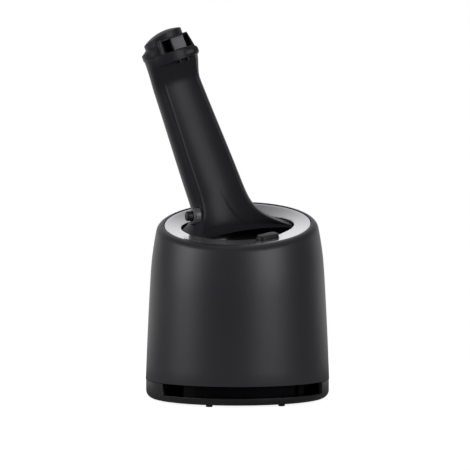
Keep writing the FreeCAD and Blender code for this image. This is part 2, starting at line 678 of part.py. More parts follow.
def towerSections(grow):
    """Halves of the tower's sections and their places along the axis."""
    return [("towerFootHalf", size["flareTop"]), ("towerMidHalf", size["towerMid"]),
            ("towerNeckHalf", size["towerNeck"]), ("towerTopHalf", size["towerTop"] + min(grow, 0))]


def towerBar(name, grow):
    """The tower's leaning bar, with its sections grown or shrunk."""
    sections = []
    for number, (half, s) in enumerate(towerSections(grow), start=1):
        deep = f"({half}) * towerDepthShare + {grow}"
        sections.append(ellipse(f"{name}{number}", f"{half} + {grow}", deep, at(z=s, frame=towerFrame)))
    return loft(name, sections)


def flareShare(u):
    """How much of the oval is left at a height of the flare, from 1 at the deck to 0 at its top."""
    rate = size["flareRate"]
    return (math.exp(-rate * u) - math.exp(-rate)) / (1 - math.exp(-rate))


def flareSections(name, steps, foot, head):
    """Ellipses of a flare that runs from an oval on the deck up to a section of the tower. Foot and
    head give the half width, the half depth and the middle, in the deck's and the tower's frame."""
    axisLow = deckAxisPoint(head[2])
    axisHigh = towerFrame.multVec(head[2] + Vector(0, 0, size["flareTop"]))
    oval = deckFrame.multVec(foot[2] + Vector(0, 0, size["footRim"]))
    sections = []
    for number, u in enumerate(steps):
        share = max(flareShare(u), 0)
        centre = axisLow + (axisHigh - axisLow) * u + (oval - axisLow) * share
        turn = deckTurn.slerp(towerTurn, min(max(u, 0), 1))
        wide = head[0] + (foot[0] - head[0]) * share
        deep = head[1] + (foot[1] - head[1]) * share
        sections.append(ellipse(f"{name}{number}", str(wide), str(deep), Placement(centre, turn)))
    return sections


def footBar(name, grow):
    """The tower's foot: the tub's oval drawn up into the tower's section, with a hollow flank."""
    halfX = value("ovalHalfWidth - footClearance") + grow
    halfY = value("ovalHalfDepth - footClearance") + grow
    towerX = size["towerFootHalf"] + grow
    towerY = value("towerFootHalf * towerDepthShare") + grow
    flare = loft(name + "Flare", flareSections(name, FLARE_STEPS, (halfX, halfY, Vector()),
                                               (towerX, towerY, Vector())))
    stem = ovalBar(name + "Stem", str(halfX), str(halfY), deckFrame, 2 * stepZ, size["footRim"])
    if grow < 0:
        return [stem, flare]
    return [cut(name + "Rim", stem, underPlane()), flare]


def scoopBar(name, grow):
    """The scoop that opens the foot over the tub: its straight part in the oval and its flare."""
    halfX = size["scoopHalfWidth"] + grow
    halfY = size["scoopHalfDepth"] + grow
    middle = Vector(size["scoopRight"], -size["scoopFront"], 0)
    headX = size["troughHalfWidth"] + grow
    headY = size["troughHalfDepth"] + grow
    headMiddle = Vector(0, -value("troughFloor + troughHalfDepth"), 0)
    flare = loft(name + "Flare", flareSections(name, SCOOP_STEPS, (halfX, halfY, middle),
                                               (headX, headY, headMiddle)))
    well = ovalBar(name + "Well", str(halfX), str(halfY), at(middle.x, middle.y, 0, deckFrame),
                   3 * stepZ, size["cutBeyond"])
    return [well, flare]


def deckAxisPoint(middle):
    """Where a line along the tower, through a point of its foot, meets the plane of the foot's rim."""
    base = deckFrame.inverse().multVec(towerFrame.multVec(middle))
    along = deckFrame.Rotation.inverted().multVec(towerTurn.multVec(Vector(0, 0, 1)))
    return towerFrame.multVec(middle + Vector(0, 0, (size["footRim"] - base.z) / along.z))


def shaverBar(name, grow, top):
    """The space that the shaver fills along the tower, above the foot's flare."""
    centre = -size["troughFloor"] - size["troughHalfDepth"]
    return ovalBar(name, f"troughHalfWidth + {grow}", f"troughHalfDepth + {grow}",
                   at(y=centre, frame=towerFrame), 0, top)


def frontCorners(name, bar, radius, front):
    """Rounds the two upright edges at the front of a block in the head."""

    def chosen(edge):
        start = towerFrame.inverse().multVec(edge.Vertexes[0].Point)
        return isUpright(edge, towerFrame) and start.y < -front / 2

    return rounded(name, bar, radius, chosen)


def noseBar(name):
    """The head's nose, which overhangs the trough."""
    bar = box(name + "Block", "2 * noseHalfWidth", "noseReach", "noseHeight",
              at(-size["noseHalfWidth"], -size["noseReach"], size["troughTop"], towerFrame))
    return frontCorners(name, bar, size["noseCorner"], size["noseReach"])


def hoodBar(name):
    """The head's hood over the nose: a block that narrows to its top, with round front corners."""
    bar = doc.addObject("Part::Wedge", name + "Block")
    rise = "towerTop + hoodRise - troughTop - noseHeight"
    for prop, rule in (("Xmin", "-hoodHalfWidth"), ("Xmax", "hoodHalfWidth"),
                       ("X2min", "hoodNarrowing - hoodHalfWidth"), ("X2max", "hoodHalfWidth - hoodNarrowing"),
                       ("Ymin", "0"), ("Ymax", rise), ("Zmin", "0"), ("Zmax", "hoodReach"),
                       ("Z2min", "0"), ("Z2max", "hoodReach - hoodNarrowing")):
        bind(bar, prop, rule)
    low = value("troughTop + noseHeight")
    bar.Placement = at(x=size["hoodRight"], z=low, frame=towerFrame, turn=Rotation(Vector(1, 0, 0), 90))
    return frontCorners(name, bar, size["hoodCorner"], size["hoodReach"])


def underPlane():
    """Block under the slanted underside of the foot."""
    turn = Rotation(Vector(0, 1, 0), -size["footUnderTilt"])
    left = at(-size["ovalHalfWidth"], 0, stepZ, deckFrame, turn)
    return box("footUnder", "drumRadius * 4", "drumRadius * 4", "drumRadius * 2",
               at(-2 * size["drumRadius"], -2 * size["drumRadius"], -2 * size["drumRadius"], left))


def makeTowerShells():
    wall = size["towerWall"]
    hoodLow = size["troughTop"]
    skins = [towerBar("towerSkin", 0), *footBar("footSkin", 0)]
    cores = [towerBar("towerCore", -wall), *footBar("footCore", -wall)]
    spaces = [shaverBar("troughSpace", 0, hoodLow), *scoopBar("scoop", 0)]
    linings = [shaverBar("troughLining", wall, hoodLow + wall), *scoopBar("lining", wall)]
    opened = [cut(f"{skin.Name}Open", skin, space) for skin, space in zip(skins, spaces)]
    hollow = [cut(f"{core.Name}Open", core, lining) for core, lining in zip(cores, linings)]
    outer = fuse("towerOuter", [*opened, noseBar("nose"), hoodBar("hood")])
    hollowed = cut("towerHollowed", outer, fuse("towerInner", hollow))
    recess = centredBox("contactRecess", "2 * recessHalfWidth", "recessDepth + cutBeyond", "recessHeight",
                        Vector(size["hoodRight"], value("(recessDepth - cutBeyond) / 2 - hoodReach"),
                               value("troughTop + noseHeight + recessFloor + recessHeight / 2")), towerFrame)
    tools = [recess, bezelSeat("bezelPort")]
    for side in SIDES:
        tools.append(pinBar("pinPort", side, "pinFit", hoodLow - size["cutBeyond"],
                            value("troughTop + noseHeight + recessFloor + cutBeyond")))
    whole = cutAll("towerWhole", hollowed, tools)
    rear = box("towerRearHalf", "drumRadius * 2", "drumRadius", "drumRadius * 3",
               at(-size["drumRadius"], 0, size["flareTop"], towerFrame))
    keep("tower_front", cut("towerFront", whole, rear))
    keep("tower_rear", common("towerRear", [whole, rear]))


def pinBar(name, side, grow, low, high):
    """Bar on the line of a contact pin; side is -1 for the left pin and 1 for the right."""
    centre = -value("hoodReach - recessDepth + blockDepth / 2")
    return cylinder(name + SIDES[side], f"pinRadius + {grow}", str(high - low),
                    at(size["blockRight"] + side * size["pinSpread"], centre, low, towerFrame))


def makeHead():
    floor = value("troughTop + noseHeight + recessFloor")
    back = value("recessDepth - hoodReach")
    middle = Vector(size["blockRight"], back - size["blockDepth"] / 2, floor + size["blockHeight"] / 2)
    block = centredBox("blockSolid", "2 * blockHalfWidth", "blockDepth", "blockHeight", middle, towerFrame)
    top = value("troughTop - pinProud + pinLength + pinTravel + pinRoom")
    bores = [pinBar("blockBore", side, "pinFit", floor - size["cutBeyond"], top) for side in SIDES]
    keep("contact_block", cutAll("block", block, bores))
    for side, label in ((-1, "contact_pin_left"), (1, "contact_pin_right")):
        low = value("troughTop - pinProud")
        keep(label, pinBar("pin", side, "0", low, low + size["pinLength"]))
    foot = at(z=size["towerTop"], frame=towerFrame)
    waist = at(size["capRight"], 0, value("towerTop + capShoulder"), towerFrame)
    shoulder = loft("capShoulderCone", [ellipse("capFoot", "capFootRadius", "capFootRadius", foot),
                                        ellipse("capWaist", "capRadius", "capRadius", waist)], ruled=True)
    side = cylinder("capSide", "capRadius", "capHeight - capShoulder", waist)
    ball = doc.addObject("Part::Sphere", "capBall")
    bind(ball, "Radius", "capDomeRadius")
    ball.Placement = at(size["capDomeRight"], -size["capDomeFront"], value("towerTop - capDomeLow"),
                        towerFrame)
    whole = common("capDome", [fuse("capWhole", [shoulder, side]), ball])
    keep("tower_cap", cut("cap", whole, hoodBar("capNotch")))


# --- buttons ----------------------------------------------------------------------------------------


def startBar(name, grow, low, high):
    """Rounded bar on the place of the start button, square to the deck."""
    length, width = size["startLength"] + 2 * grow, size["startWidth"] + 2 * grow
    turn = Rotation(Vector(0, 0, 1), size["startTurn"])
    frame = at(size["startX"], size["startY"], low, deckFrame, turn)
    bar = box(name + "Block", str(length), str(width), str(high - low), at(-length / 2, -width / 2, 0, frame))
    return rounded(name, bar, size["startCorner"] + grow, lambda edge: isUpright(edge, frame))


def bezelFrame():
    """Frame of the quick-clean button: its Z points out of the foot's left flank."""
    azimuth = math.radians(size["quickAzimuth"])
    outward = Vector(math.cos(azimuth), math.sin(azimuth), 0)
    side = Vector(-outward.y, outward.x, 0)
    turn = Rotation(side, Vector(0, 0, 1), outward, "ZXY")
    centre = Vector(-size["quickReach"], size["quickBack"], 0)
    deckLift = deckFrame.multVec(centre).z + size["quickHeight"]
    return Placement(Vector(centre.x, centre.y, deckLift), turn)


def bezelSeat(name):
    return ovalBar(name, "bezelHalfHeight", "bezelHalfWidth", quarterTurned(), -size["bezelDepth"],
                   2 * size["bezelDepth"])


def quarterTurned():
    """The bezel's frame with its X axis upright, so that the long axis stands up."""
    return bezelFrame().multiply(Placement(Vector(), Rotation(Vector(0, 0, 1), 90)))


def makeButtons():
    low = tubTop + size["startTravel"] + size["moveGap"]
    keep("start_button", startBar("startSolid", 0, low, size["startProud"]))
    frame = quarterTurned()
    plate = ovalBar("bezelPlate", "bezelHalfHeight", "bezelHalfWidth", frame, -size["bezelDepth"],
                    size["bezelThickness"])
    port = cylinder("bezelBore", "quickRadius + buttonGap / 2", "3 * bezelDepth",
                    at(z=-size["bezelBoreDepth"], frame=frame))
    keep("quick_bezel", cut("bezel", plate, port))
    low = value("quickTravel + moveGap - bezelBoreDepth")
    button = cylinder("quickSolid", "quickRadius", str(value("bezelThickness + quickProud") - low),
                      at(z=low, frame=frame))
    keep("quick_clean_button", button)


# --- base -------------------------------------------------------------------------------------------


def makeBase():
    floorTop = "footHeight + baseFloor"
    rimTop = "shellBottom - partGap"
    outline = [("0", "footHeight"), ("baseRadius - baseBevel", "footHeight"),
               ("baseRadius", "footHeight + baseBevel"), ("baseRadius", rimTop),
               ("baseRadius - baseWall", rimTop), ("baseRadius - baseWall", floorTop), ("0", floorTop)]
    pan = turned("panSolid", outline)
    slot = cylinder("slotSector", "baseRadius * 2", "shellBottom", at(
        z=size["baseSill"], turn=Rotation(Vector(0, 0, 1), -90 - size["slotAngle"] / 2)), "slotAngle")
    start = 90 - size["skirtAngle"] / 2
    place = at(z=value(floorTop), turn=Rotation(Vector(0, 0, 1), start))
    skirt = cylinder("skirtBar", "skirtRadius", f"skirtTop - ({floorTop})", place, "skirtAngle")
    core = cylinder("skirtCore", "skirtRadius - skirtWall", "skirtTop", at(z=value(floorTop)))
    window = box("skirtWindow", "2 * liftHalfWidth", "drumRadius", "skirtTop",
                 at(-size["liftHalfWidth"], 0, value("liftZ - liftHalfHeight - hookDrop")))
    guide = cutAll("skirt", skirt, [core, window])
    tools = [screwBar(f"baseScrewPort{name}", side * size["postX"], size["postY"], size["footHeight"])
             for side, name in SIDES.items()]
    keep("base_pan", cutAll("pan", fuse("panWhole", [cut("panSlotted", pan, slot), guide]), tools))
    feet = [cylinder(f"foot{name}{depth}", "footRadius", "footHeight", at(x * size["footX"], y, 0))
            for x, name in SIDES.items() for depth, y in (("Front", -size["footY"]), ("Rear", size["footY"]))]
    keep("rubber_feet", group("feet", feet))
    makePosts(value(floorTop))


def screwBar(name, x, y, z):
    """A screw that points up: its head is at the bottom."""
    head = cylinder(name + "Head", "screwHead", "screwHeadHeight", at(x, y, z))
    shank = cylinder(name + "Shank", "screwRadius", "screwLength", at(x, y, z + size["screwHeadHeight"]))
    return fuse(name, [head, shank])


def makePosts(floor):
    posts, screws = [], []
    for side, name in SIDES.items():
        x, y = side * size["postX"], size["postY"]
        bar = cylinder(f"postBar{name}", "postRadius", f"postTop - {floor}", at(x, y, floor))
        screw = screwBar(f"baseScrew{name}", x, y, size["footHeight"])
        posts.append(cut(f"post{name}", bar, screw))
        screws.append(screw)
        label = f"lift_spring_{name.lower()}"
        keep(label, coil(label, x, y, floor, size["frameBottom"]))
    keep("guide_posts", group("posts", posts))
    keep("base_screws", group("baseScrews", screws))


def coil(name, x, y, low, high):
    """Coil spring between two heights: a round wire along a helix."""
    wire = size["springWire"]
    slack = size["springSlack"]
    helix = Part.makeHelix(size["springPitch"], high - low - 2 * wire - slack, size["springRadius"])
    ring = Part.Wire(Part.makeCircle(wire, Vector(size["springRadius"], 0, 0), Vector(0, 1, 0)))
    item = doc.addObject("Part::Feature", name + "Coil")
    item.Shape = Part.Wire(helix).makePipeShell([ring], True, True)
    item.Placement = at(x, y, low + wire + slack / 2)
    return item


# --- cartridge ----------------------------------------------------------------------------------------


def cartridgeBar(name, shrink, low, high):
    """The cartridge's outline as a bar: a disc with straight sides and a straight back."""
    disc = cylinder(name + "Disc", f"cartridgeRadius - {shrink}", str(high - low), at(z=low))
    half = size["cartridgeHalfWidth"] - shrink
    length = size["cartridgeRadius"] + size["cartridgeBack"] - shrink
    block = box(name + "Block", str(2 * half), f"{length} + cutBeyond", str(high - low),
                at(-half, -value("cartridgeRadius + cutBeyond"), low))
    return common(name, [disc, block])


def makeCartridge():
    floor = value("footHeight + baseFloor")
    top = size["cartridgeTop"]
    wall = size["cartridgeWall"]
    can = cartridgeBar("cartridgeCan", 0, floor, top)
    inside = cartridgeBar("cartridgeInside", wall, floor + wall, top + size["cutBeyond"])
    keep("cartridge_body", cut("cartridge", can, inside))
    plate = cartridgeBar("cartridgePlate", 0, top, value("cartridgeTop + lidThickness"))
    mouth = cylinder("lidMouth", "drainRadius + drainWall + nozzleGap", "lidThickness + 2 * cutBeyond",
                     at(drainPlace.x, drainPlace.y, top - size["cutBeyond"]))
    keep("cartridge_lid", cut("lid", plate, mouth))
    bar = cylinder("filterBar", "filterRadius", str(top - floor - wall), at(0, 0, floor + wall))
    hollow = cylinder("filterCore", "filterCoreRadius", "cartridgeTop", at(0, 0, floor + 2 * wall))
    keep("cartridge_filter", cut("filter", bar, hollow))


# --- works in the housing -----------------------------------------------------------------------------


def makeFrame():
    low = size["frameBottom"]
    top = value("frameBottom + frameThickness")
    disc = cylinder("frameDisc", str(innerRadiusAt(top) - size["frameGap"]), "frameThickness", at(z=low))
    through = "frameThickness + 2 * cutBeyond"
    under = low - size["cutBeyond"]
    tools = [cylinder("frameDrain", "drainRadius + drainWall + frameGap", through,
                      at(drainPlace.x, drainPlace.y, under)),
             cylinder("frameAir", "fanRadius - 2 * fanWall", through, at(size["fanX"], size["fanY"], under))]
    for side, name in SIDES.items():
        tools.append(cylinder(f"frameBore{name}", "postRadius + postFit", through,
                              at(side * size["postX"], size["postY"], under)))
    screws = []
    for number, place in enumerate(bossPlaces(), start=1):
        tools.append(screwBar(f"frameHole{number}", place.x, place.y, low))
        screws.append(screwBar(f"frameScrew{number}", place.x, place.y, low))
    keep("inner_frame", cutAll("frame", disc, tools))
    keep("frame_screws", group("frameScrews", screws))


def makePump():
    x, y = size["pumpX"], size["pumpY"]
    low = value("frameBottom + frameThickness")
    wall, gap = size["pumpWall"], size["impellerGap"]
    can = cylinder("pumpCan", "pumpRadius", "pumpHeight", at(x, y, low))
    chamber = cylinder("pumpChamber", "pumpRadius - pumpWall", "pumpHeight - 2 * pumpWall",
                       at(x, y, low + wall))
    shaftHole = cylinder("pumpHole", "shaftRadius + shaftFit", "pumpHeight", at(x, y, low + 2 * wall))
    keep("pump_housing", cutAll("pumpHousing", can, [chamber, shaftHole]))
    motorLow = low + size["pumpHeight"]
    motor = cylinder("motorCan", "motorRadius", "motorHeight", at(x, y, motorLow))
    bore = cylinder("motorBore", "shaftRadius + shaftFit", "shaftEntry + cutBeyond",
                    at(x, y, motorLow - size["cutBeyond"]))
    keep("pump_motor", cut("pumpMotor", motor, bore))
    shaftLow = low + wall + gap
    shaftTop = motorLow + size["shaftEntry"] - gap
    keep("pump_shaft", cylinder("shaftBar", "shaftRadius", str(shaftTop - shaftLow), at(x, y, shaftLow)))
    keep("pump_impeller", impeller(x, y, shaftLow, value("pumpHeight - 2 * pumpWall - 2 * impellerGap")))
    makeTube(x, y, low)


def impeller(x, y, low, height):
    """Hub with straight vanes, on the pump's shaft."""
    radius = value("pumpRadius - pumpWall - impellerGap")
    parts = [cylinder("impellerHub", "impellerHubRadius", str(height), at(x, y, low))]
    for number in range(int(size["vanes"])):
        turn = Rotation(Vector(0, 0, 1), 360 * number / size["vanes"])
        frame = at(x, y, low, turn=turn)
        parts.append(box(f"vane{number}", str(radius), "bladeThickness", str(height),
                         at(0, -size["bladeThickness"] / 2, 0, frame)))
    whole = fuse("impellerWhole", parts)
    bore = cylinder("impellerBore", "shaftRadius", "pumpHeight + cutBeyond",
                    at(x, y, low - size["cutBeyond"]))
    return cut("impeller", whole, bore)


def makeTube(x, y, low):
    """Wash tube from the pump's side up to the tub: two straight runs and one tangent arc."""
    bend = size["tubeBend"]
    side = x - size["pumpRadius"]
    height = low + size["pumpHeight"] / 2
    start = Vector(side + size["tubeLap"], y, height)
    corner = Vector(side - size["tubeRun"] - bend, y, height)
    topZ = deckFrame.multVec(Vector(corner.x, y, tubTop - size["tubFlange"])).z - size["tubeRadius"]
    end = Vector(corner.x, y, topZ)
    first = corner + Vector(bend, 0, 0)
    last = corner + Vector(0, 0, bend)
    middle = corner + Vector(bend, 0, bend) - Vector(bend, 0, bend) * math.sqrt(0.5)
    path = Part.Wire([Part.LineSegment(start, first).toShape(), Part.Arc(first, middle, last).toShape(),
                      Part.LineSegment(last, end).toShape()])
    tubes = []
    for radius in (size["tubeRadius"], size["tubeBore"]):
        ring = Part.Wire(Part.makeCircle(radius, start, Vector(1, 0, 0)))
        tubes.append(path.makePipeShell([ring], True, False))
    skin = doc.addObject("Part::Feature", "tubeSkin")
    skin.Shape = tubes[0].cut(tubes[1])
    can = cylinder("tubeLimit", "pumpRadius", "pumpHeight", at(x, y, low))
    keep("wash_tube", cut("washTube", skin, can))


def makeFan():
    x, y = size["fanX"], size["fanY"]
    low = value("frameBottom + frameThickness")
    ring = cylinder("fanRing", "fanRadius", "fanHeight", at(x, y, low))
    bore = cylinder("fanBore", "fanRadius - fanWall", "fanHeight + 2 * cutBeyond",
                    at(x, y, low - size["cutBeyond"]))
    housing = [cut("fanTube", ring, bore)]
    arm = size["fanRadius"] - size["fanWall"] / 2
    for number in range(int(size["fanArms"])):
        angle = 360 * number / size["fanArms"] + size["fanArmTurn"]
        frame = at(x, y, low, turn=Rotation(Vector(0, 0, 1), angle))
        housing.append(box(f"fanArm{number}", str(arm), "2 * fanWall", "fanWall",
                           at(0, -size["fanWall"], 0, frame)))
    housing.append(cylinder("fanSeat", "fanMotorRadius", "fanWall", at(x, y, low)))
    keep("fan_housing", fuse("fanHousing", housing))
    motorTop = low + value("fanWall + fanMotorHeight")
    motor = cylinder("fanMotorCan", "fanMotorRadius", "fanMotorHeight", at(x, y, low + size["fanWall"]))
    pin = cylinder("fanPin", "shaftRadius", "fanPinLength", at(x, y, motorTop))
    keep("fan_motor", fuse("fanMotor", [motor, pin]))
    hubLow = motorTop + size["moveGap"]
    height = low + value("fanHeight - fanRoom") - hubLow
    rotor = [cylinder("fanHubDisc", "fanHub", str(height), at(x, y, hubLow))]
    length = value("fanRadius - fanWall - fanGap")
    for number in range(int(size["fanBlades"])):
        turn = Rotation(Vector(0, 0, 1), 360 * number / size["fanBlades"])
        tilt = Rotation(Vector(1, 0, 0), size["bladeTilt"])
        frame = at(x, y, hubLow + height / 2, turn=turn).multiply(Placement(Vector(), tilt))
        rotor.append(box(f"blade{number}", str(length), "bladeThickness", str(height),
                         at(0, -size["bladeThickness"] / 2, -height / 2, frame)))
    limit = cylinder("bladeLimit", str(length), str(height), at(x, y, hubLow))
    whole = common("rotorWhole", [fuse("rotorRaw", rotor), limit])
    hole = cylinder("rotorHole", "shaftRadius + shaftFit", "fanPinLength + moveGap", at(x, y, motorTop))
    keep("fan_rotor", cut("fanRotor", whole, hole))


def makeBoard():
    low = value("frameBottom + frameThickness")
    y = -size["boardForward"]
    keep("circuit_board", box("boardPlate", "boardWidth", "boardThickness", "boardHeight",
                              at(-size["boardWidth"] / 2, y, low)))
    back = y + size["boardThickness"]
    flat = Rotation(Vector(1, 0, 0), -90)
    width = size["boardWidth"]
    parts = []
    for name, length, depth, height, x, z in BOARD_BLOCKS:
        parts.append(box(name, f"{length} * boardWidth", f"{depth} * boardWidth", f"{height} * boardWidth",
                         at(x * width, back, low + z * width)))
    for name, radius, length, x, z in BOARD_CANS:
        parts.append(cylinder(name, f"{radius} * boardWidth", f"{length} * boardWidth",
                              at(x * width, back, low + z * width, turn=flat)))
    keep("board_parts", group("boardParts", parts))


def makeSocket():
    low = value("frameBottom + frameThickness")
    depth = size["socketDepth"]
    face = size["socketFace"]
    body = box("socketBlock", "2 * socketHalfWidth", "socketDepth", f"socketTop - {low}",
               at(-size["socketHalfWidth"], face - depth, low))
    mouth = box("socketMouth", "socketMouthWidth", "socketMouthDepth + cutBeyond", "socketMouthHeight",
                at(-size["socketMouthWidth"] / 2, face - size["socketMouthDepth"],
                   size["socketMouthZ"] - size["socketMouthHeight"] / 2))
    keep("power_socket", cut("socket", body, mouth))
    back = face - size["socketMouthDepth"]
    turn = Rotation(Vector(1, 0, 0), -90)
    pins = [cylinder(f"socketPin{name}", "socketPinRadius", "socketPinLength",
                     at(side * size["socketPinSpread"], back, size["socketMouthZ"], turn=turn))
            for side, name in SIDES.items()]
    keep("socket_pins", group("socketPins", pins))


def makeLatch():
    face = size["liftFace"]
    z = size["liftZ"]
    button = liftBar("liftSolid", 0, size["liftDepth"])
    keep("lift_button", common("liftButton", [button, liftSpace("liftTrim")]))
    tip, thick, half = size["hookTip"], size["hookThickness"], size["hookHalfWidth"]
    arm = box("hookArm", "2 * hookHalfWidth", str(face - size["liftDepth"] - tip), "hookThickness",
              at(-half, tip, z))
    nose = box("hookNose", "2 * hookHalfWidth", "hookThickness", "hookDrop",
               at(-half, tip, z - size["hookDrop"] + thick))
    keep("latch_hook", fuse("hook", [arm, nose]))
    lip = size["catchLip"]
    inner = tip + thick + size["catchGap"]
    top = z - size["catchGap"]
    floor = value("footHeight + baseFloor")
    post = box("catchPost", "2 * hookHalfWidth", "catchThickness", str(top - floor),
               at(-half, inner + lip, floor))
    plate = box("catchPlate", "2 * hookHalfWidth", "catchLip + catchThickness", "catchThickness",
                at(-half, inner, top - size["catchThickness"]))
    keep("latch_catch", fuse("catch", [post, plate]))


def liftSpace(name):
    """Block that ends the lift button flush with the shell and at its depth inside."""
    return box(name, "drumRadius", "liftDepth", "drumRadius",
               at(-size["drumRadius"] / 2, value("liftFace - liftDepth"),
                  size["liftZ"] - size["drumRadius"] / 2))


makeOuterShell()
makeTrimRing()
makeTub()
makeNozzle()
makeTowerShells()
makeHead()
makeButtons()
makeBase()
makeCartridge()
makeFrame()
makePump()
makeFan()
makeBoard()
makeSocket()
makeLatch()
doc.recompute()

faults = [item.Name for item in doc.Objects if "Invalid" in item.State or "Error" in item.State]
for label, item in pieces.items():
    if item.Shape.isNull() or not item.Shape.isValid() or not item.Shape.Solids:
        faults.append(label)
if faults:
    raise RuntimeError("these objects failed: " + ", ".join(faults))

os.makedirs("parts", exist_ok=True)
for label, item in sorted(pieces.items()):
    item.Shape.exportStep(f"parts/{label}.step")
    bounds = item.Shape.BoundBox
    print(label, len(item.Shape.Solids), f"x {bounds.XMin:.1f} {bounds.XMax:.1f}",
          f"y {bounds.YMin:.1f} {bounds.YMax:.1f}", f"z {bounds.ZMin:.1f} {bounds.ZMax:.1f}")
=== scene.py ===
import json
import math

import bmesh
import bpy
from mathutils import Matrix, Vector


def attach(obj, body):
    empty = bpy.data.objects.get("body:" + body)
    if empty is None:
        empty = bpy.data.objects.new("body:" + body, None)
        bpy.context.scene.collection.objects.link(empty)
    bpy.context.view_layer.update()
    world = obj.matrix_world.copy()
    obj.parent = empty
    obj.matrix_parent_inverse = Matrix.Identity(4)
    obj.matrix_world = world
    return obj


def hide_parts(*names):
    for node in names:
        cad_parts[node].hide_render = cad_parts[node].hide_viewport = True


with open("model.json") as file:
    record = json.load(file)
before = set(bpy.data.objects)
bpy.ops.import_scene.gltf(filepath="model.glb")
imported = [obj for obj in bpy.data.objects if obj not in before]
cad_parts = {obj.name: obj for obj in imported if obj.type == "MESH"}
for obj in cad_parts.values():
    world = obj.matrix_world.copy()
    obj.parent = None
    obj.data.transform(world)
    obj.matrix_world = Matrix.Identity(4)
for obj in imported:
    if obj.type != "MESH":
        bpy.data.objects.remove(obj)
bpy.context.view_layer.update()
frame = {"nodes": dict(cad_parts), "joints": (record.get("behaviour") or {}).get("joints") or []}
nodes = frame["nodes"]
joints = {joint["name"]: joint for joint in frame["joints"]}


# frames of the slanted deck and the leaning tower; their turns come from the axes of two joints
deck = {"height": 0.119}
tower = {"foot": (-0.0062, 0.014, 0.1195), "faceTurn": math.radians(15)}


def leaningTurn(axis):
    # turn that takes +Z to a leaning axis, first to the side and then to the front or back
    side = math.atan2(-axis.x, axis.z)
    back = math.asin(axis.y)
    return Matrix.Rotation(-side, 4, "Y") @ Matrix.Rotation(-back, 4, "X")


deckNormal = -Vector(joints["start_button_press"]["axis"]).normalized()
towerAxis = Vector(joints["contact_pin_left_press"]["axis"]).normalized()
deckFrame = Matrix.Translation((0, 0, deck["height"])) @ leaningTurn(deckNormal)
towerTurn = leaningTurn(towerAxis) @ Matrix.Rotation(tower["faceTurn"], 4, "Z")
towerFrame = Matrix.Translation(tower["foot"]) @ towerTurn
flat = Matrix()


# number of sides of round pieces
facets = {"pin": 32, "screw": 48, "hole": 64, "key": 96, "oval": 128, "drum": 160}
# distance under which two points count as one
hair = 0.00002
# size of a large cutting block, and how far a cut runs on past a surface
cutter = 0.3
beyond = 0.02
# angles for rounding and for smooth shading, weld distance and round edge of the constructed solids
edging = {"sharp": 32, "smooth": 40, "weld": 0.000002, "thin": 0.0002}


def deselectAll():
    if bpy.context.mode != "OBJECT":
        bpy.ops.object.mode_set(mode="OBJECT")
    bpy.ops.object.select_all(action="DESELECT")


def activate(piece):
    deselectAll()
    piece.select_set(True)
    bpy.context.view_layer.objects.active = piece


def applyPlace(piece):
    activate(piece)
    bpy.ops.object.transform_apply(location=True, rotation=True, scale=True)


def named(name):
    piece = bpy.context.object
    piece.name = name
    piece.data.name = name
    return piece


def place(piece, matrix):
    # moves a finished primitive into a frame and leaves its place in its mesh
    piece.matrix_world = matrix @ piece.matrix_world
    applyPlace(piece)
    return piece


def addCircle(matrix, radius, sides):
    spot, turn, _ = matrix.decompose()
    bpy.ops.mesh.primitive_circle_add(vertices=sides, radius=radius, location=spot, rotation=turn.to_euler())


def flatten(matrix, share):
    # scales the selected circle along the Y axis of its own frame
    spot, turn, _ = matrix.decompose()
    if share != 1:
        bpy.ops.transform.resize(value=(1, share, 1), orient_type="GLOBAL", orient_matrix=turn.to_matrix(),
                                 orient_matrix_type="GLOBAL", center_override=spot)


def choose(piece, kind, chosen):
    # opens a piece for editing and selects the edges or points that a test picks out
    activate(piece)
    bpy.ops.object.mode_set(mode="EDIT")
    bpy.ops.mesh.select_mode(type=kind)
    bpy.ops.mesh.select_all(action="DESELECT")
    mesh = bmesh.from_edit_mesh(piece.data)
    for part in mesh.edges if kind == "EDGE" else mesh.verts:
        part.select = chosen(*(vert.co for vert in part.verts)) if kind == "EDGE" else chosen(part.co)
    mesh.select_flush_mode()
    bmesh.update_edit_mesh(piece.data)


def selectRings(piece, numbers, sides):
    mesh = bmesh.from_edit_mesh(piece.data)
    mesh.verts.ensure_lookup_table()
    for vert in mesh.verts:
        vert.select = False
    for number in numbers:
        for index in range(number * sides, (number + 1) * sides):
            mesh.verts[index].select = True
    mesh.select_flush_mode()
    bmesh.update_edit_mesh(piece.data)


def apart(rings):
    # circles in one plane would be bridged the wrong way round, so they are set a hair apart
    spaced = [rings[0]]
    for matrix, halfX, halfY in rings[1:]:
        axis = matrix.to_3x3() @ Vector((0, 0, 1))
        if abs((matrix.translation - spaced[-1][0].translation).dot(axis)) < hair:
            matrix = Matrix.Translation(axis * hair) @ matrix
        spaced.append((matrix, halfX, halfY))
    return spaced


def easedShare(value, low, high):
    # rises softly from 0 at one value to 1 at the other
    share = min(1, max(0, (value - low) / (high - low)))
    return share * share * (3 - 2 * share)


